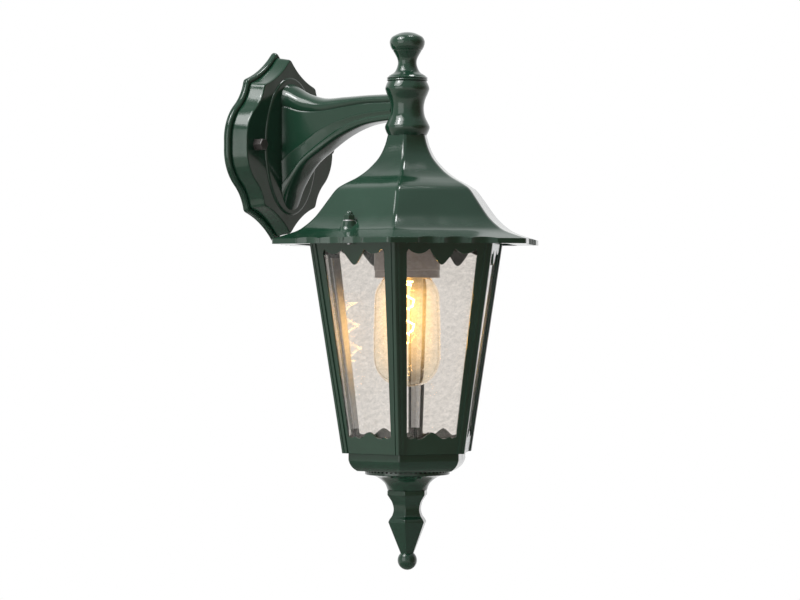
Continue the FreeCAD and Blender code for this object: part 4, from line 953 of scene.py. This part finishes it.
def make_lamp_glass():
    """Clear envelope: round shoulders under the cap, nearly straight sides and a rounded end."""
    side = 29.5 * MM
    neck = 12.4 * MM

    def under_cap(drop, radius):
        return (CAP_FOOT - drop * MM, radius)

    def over_foot(rise, radius):
        return (LAMP_FOOT + rise * MM, radius)

    profile = [under_cap(0, neck), under_cap(7, neck + 3.4 * MM), under_cap(15, side - 6.6 * MM),
               under_cap(24, side - 1.8 * MM), under_cap(36, side - 0.8 * MM), over_foot(34, side),
               over_foot(18, side - 1.6 * MM), over_foot(7, side - 8.2 * MM), over_foot(1.4, side - 18 * MM),
               over_foot(0, 0.3 * MM)]
    outline = flowing(profile, 6)
    envelope = turned("lamp_envelope", outline, 96)
    edit(envelope, "FACE")
    choose(envelope, "faces", lambda face: len(face.verts) > 4 and face.normal.z > 0.9)
    bpy.ops.mesh.delete(type="FACE")
    rest()
    modified(envelope, "SOLIDIFY", thickness=0.7 * MM, offset=-1)
    fitted(envelope, "lamp", "lamp_glass_slot", "lamp_glass")


def make_filament():
    """Bright wire in a square spiral round the stem, with an arm from each end to it."""
    radius = 7.2 * MM
    pitch = 22.0 * MM
    high = CAP_FOOT - 15.0 * MM
    points = [Vector((0, 0, high))]
    for i in range(11):
        angle = math.tau * i / 4
        points.append(Vector((radius * math.cos(angle), radius * math.sin(angle), high - pitch * i / 4)))
    points.append(Vector((0, 0, points[-1].z)))
    curve = bpy.data.curves.new("filament_spiral", "CURVE")
    curve.dimensions = "3D"
    curve.bevel_depth = 0.9 * MM
    curve.bevel_resolution = 3
    curve.use_fill_caps = True
    line = curve.splines.new("POLY")
    line.points.add(len(points) - 1)
    for point, place in zip(line.points, points):
        point.co = (*(place + Vector((0, AXIS_Y, 0))), 1.0)
    wire = bpy.data.objects.new("filament_spiral", curve)
    bpy.context.scene.collection.objects.link(wire)
    take(wire)
    bpy.ops.object.convert(target="MESH")
    fitted(bpy.context.object, "lamp", "filament_wire", "lamp_filament")


# ---- stage, light and camera ----
VIEW_AZIMUTH = math.radians(-52.84)
VIEW_DISTANCE = 2.953
VIEW_HEIGHT = -0.1407
VIEW_ASIDE = 0.0065
LENS = 148.8
SENSOR = 36.0
BACKDROP_WAY = Vector((-math.sin(VIEW_AZIMUTH), math.cos(VIEW_AZIMUTH), 0))


def make_camera():
    right = Vector((math.cos(VIEW_AZIMUTH), math.sin(VIEW_AZIMUTH), 0))
    data = bpy.data.cameras.new("camera")
    data.lens = LENS
    data.sensor_width = SENSOR
    data.clip_end = 50.0
    camera = bpy.data.objects.new("camera", data)
    camera.location = axis_point(VIEW_HEIGHT) - BACKDROP_WAY * VIEW_DISTANCE - right * VIEW_ASIDE
    camera.rotation_euler = (math.pi / 2, 0, VIEW_AZIMUTH)
    bpy.context.scene.collection.objects.link(camera)
    bpy.context.scene.camera = camera


def softbox(name, azimuth, elevation, distance, size, power, colour=(1, 1, 1)):
    """A square lamp that looks at the lantern; azimuth 0 is in front of the wall, -90 to its left."""
    a = math.radians(azimuth)
    e = math.radians(elevation)
    away = Vector((math.sin(a) * math.cos(e), -math.cos(a) * math.cos(e), math.sin(e)))
    data = bpy.data.lights.new(name, "AREA")
    data.size = size
    data.energy = power
    data.color = colour
    lamp = bpy.data.objects.new(name, data)
    lamp.location = axis_point(-0.1) + away * distance
    lamp.rotation_euler = away.to_track_quat("Z", "Y").to_euler()
    bpy.context.scene.collection.objects.link(lamp)


def make_light():
    softbox("key", -115, 52, 2.2, 1.25, 30)
    softbox("key_core", -115, 52, 2.15, 0.26, 5)
    softbox("left_wall", -98, 8, 2.5, 1.8, 17)
    softbox("top", 60, 78, 2.2, 0.5, 12)
    glow = bpy.data.lights.new("lamp_glow", "POINT")
    glow.energy = 4.0
    glow.color = (1.0, 0.66, 0.28)
    glow.shadow_soft_size = 0.004
    bulb = bpy.data.objects.new("lamp_glow", glow)
    low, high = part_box("lamp_filament")
    bulb.location = (low + high) / 2
    bulb.visible_glossy = False
    bulb.visible_transmission = False
    bpy.context.scene.collection.objects.link(bulb)


ROOM_WAY = Vector((0.17, -0.97, 0.12)).normalized()


def make_world():
    """A plain studio: white backdrop behind, soft grey all round, and the dark room in front."""
    world = bpy.data.worlds.new("studio")
    bpy.context.scene.world = world
    world.use_nodes = True
    tree = world.node_tree
    tree.nodes.clear()

    def node(kind, settings, inputs, output=0):
        made = tree.nodes.new(kind)
        for key, value in settings.items():
            setattr(made, key, value)
        for key, value in inputs.items():
            if isinstance(value, bpy.types.NodeSocket):
                tree.links.new(value, made.inputs[key])
            else:
                made.inputs[key].default_value = value
        return made.outputs[output]

    def towards(way, outer, inner):
        """1 within the inner angle of a way, 0 beyond the outer one."""
        dot = node("ShaderNodeVectorMath", {"operation": "DOT_PRODUCT"}, {0: seen_way, 1: way}, "Value")
        return node("ShaderNodeMapRange", {"interpolation_type": "SMOOTHSTEP"},
                    {"Value": dot, "From Min": math.cos(math.radians(outer)), "From Max": math.cos(math.radians(inner))})

    seen_way = node("ShaderNodeTexCoord", {}, {}, "Generated")
    height = node("ShaderNodeSeparateXYZ", {}, {0: seen_way}, "Z")
    studio = tree.nodes.new("ShaderNodeValToRGB")
    tree.links.new(node("ShaderNodeMapRange", {}, {"Value": height, "From Min": -1.0}), studio.inputs[0])
    stops = [(0.0, (0.62, 0.58, 0.55)), (0.3, (0.85, 0.80, 0.76)), (0.45, (0.8, 0.77, 0.74)), (0.62, (0.6, 0.59, 0.58)),
             (1.0, (0.5, 0.5, 0.5))]
    while len(studio.color_ramp.elements) < len(stops):
        studio.color_ramp.elements.new(0.5)
    for element, (position, colour) in zip(studio.color_ramp.elements, stops):
        element.position = position
        element.color = (*colour, 1)
    room = towards(ROOM_WAY, 48, 22)
    backdrop = towards(BACKDROP_WAY, 75, 45)
    dimmed = node("ShaderNodeMix", {"data_type": "RGBA"}, {0: room, 6: studio.outputs[0], 7: (0.25, 0.18, 0.15, 1)}, 2)
    around = node("ShaderNodeMix", {"data_type": "RGBA"}, {0: backdrop, 6: dimmed, 7: (1, 1, 1, 1)}, 2)
    path = tree.nodes.new("ShaderNodeLightPath").outputs
    through = node("ShaderNodeMath", {"operation": "MAXIMUM"}, {0: path["Is Camera Ray"], 1: path["Is Transmission Ray"]})
    mirrored = node("ShaderNodeBackground", {}, {"Color": around, "Strength": 1.0})
    lit = node("ShaderNodeBackground", {}, {"Color": dimmed, "Strength": 0.36})
    white = node("ShaderNodeBackground", {}, {"Color": (1, 1, 1, 1), "Strength": 1.0})
    soft = node("ShaderNodeMixShader", {}, {0: path["Is Glossy Ray"], 1: lit, 2: mirrored})
    node_out = tree.nodes.new("ShaderNodeOutputWorld")
    tree.links.new(node("ShaderNodeMixShader", {}, {0: through, 1: soft, 2: white}), node_out.inputs["Surface"])


FLOOR_DROP = 0.75           # under the lantern's lowest point
FLOOR_REACH = 1.7


def make_floor():
    rest()
    low = cad_box[0]
    bpy.ops.mesh.primitive_circle_add(vertices=96, radius=FLOOR_REACH, fill_type="NGON",
                                      location=axis_point(low[2] - FLOOR_DROP))
    floor = bpy.context.object
    floor.name = "floor"
    f = Finish("pale_floor")
    f.set(Base_Color=f.ramp(f.noise(3, 2), [(0.3, (0.78, 0.78, 0.77)), (0.7, (0.82, 0.82, 0.81))]), Roughness=0.8)
    path = f.node("ShaderNodeLightPath", {}, {}, "Is Glossy Ray")
    through = f.node("ShaderNodeLightPath", {}, {}, "Is Transmission Ray")
    output = f.tree.nodes["Material Output"].inputs["Surface"]
    surface = f.shader.outputs["BSDF"]
    for share, strength in ((path, 0.35), (through, 1.0)):
        pale = f.node("ShaderNodeEmission", {}, {"Color": (1.0, 0.96, 0.92), "Strength": strength})
        mixed = f.node("ShaderNodeMixShader", {}, {0: share})
        f.tree.links.new(surface, mixed.socket.node.inputs[1])
        f.tree.links.new(pale.socket, mixed.socket.node.inputs[2])
        surface = mixed.socket
    f.tree.links.new(surface, output)
    floor.data.materials.append(f.material)


rest()
paint_nodes()
make_plate()
make_bolts()
make_arm()
make_spindle()
make_finial()
make_roof()
make_cap_nuts()
make_cage()
make_panes()
make_bowl()
make_vent_ring()
make_cup()
make_pendant()
make_holder()
make_lamp_cap()
make_lamp_glass()
make_filament()
make_camera()
make_light()
make_world()
make_floor()
rest()
bpy.context.scene.view_settings.view_transform = "Standard"
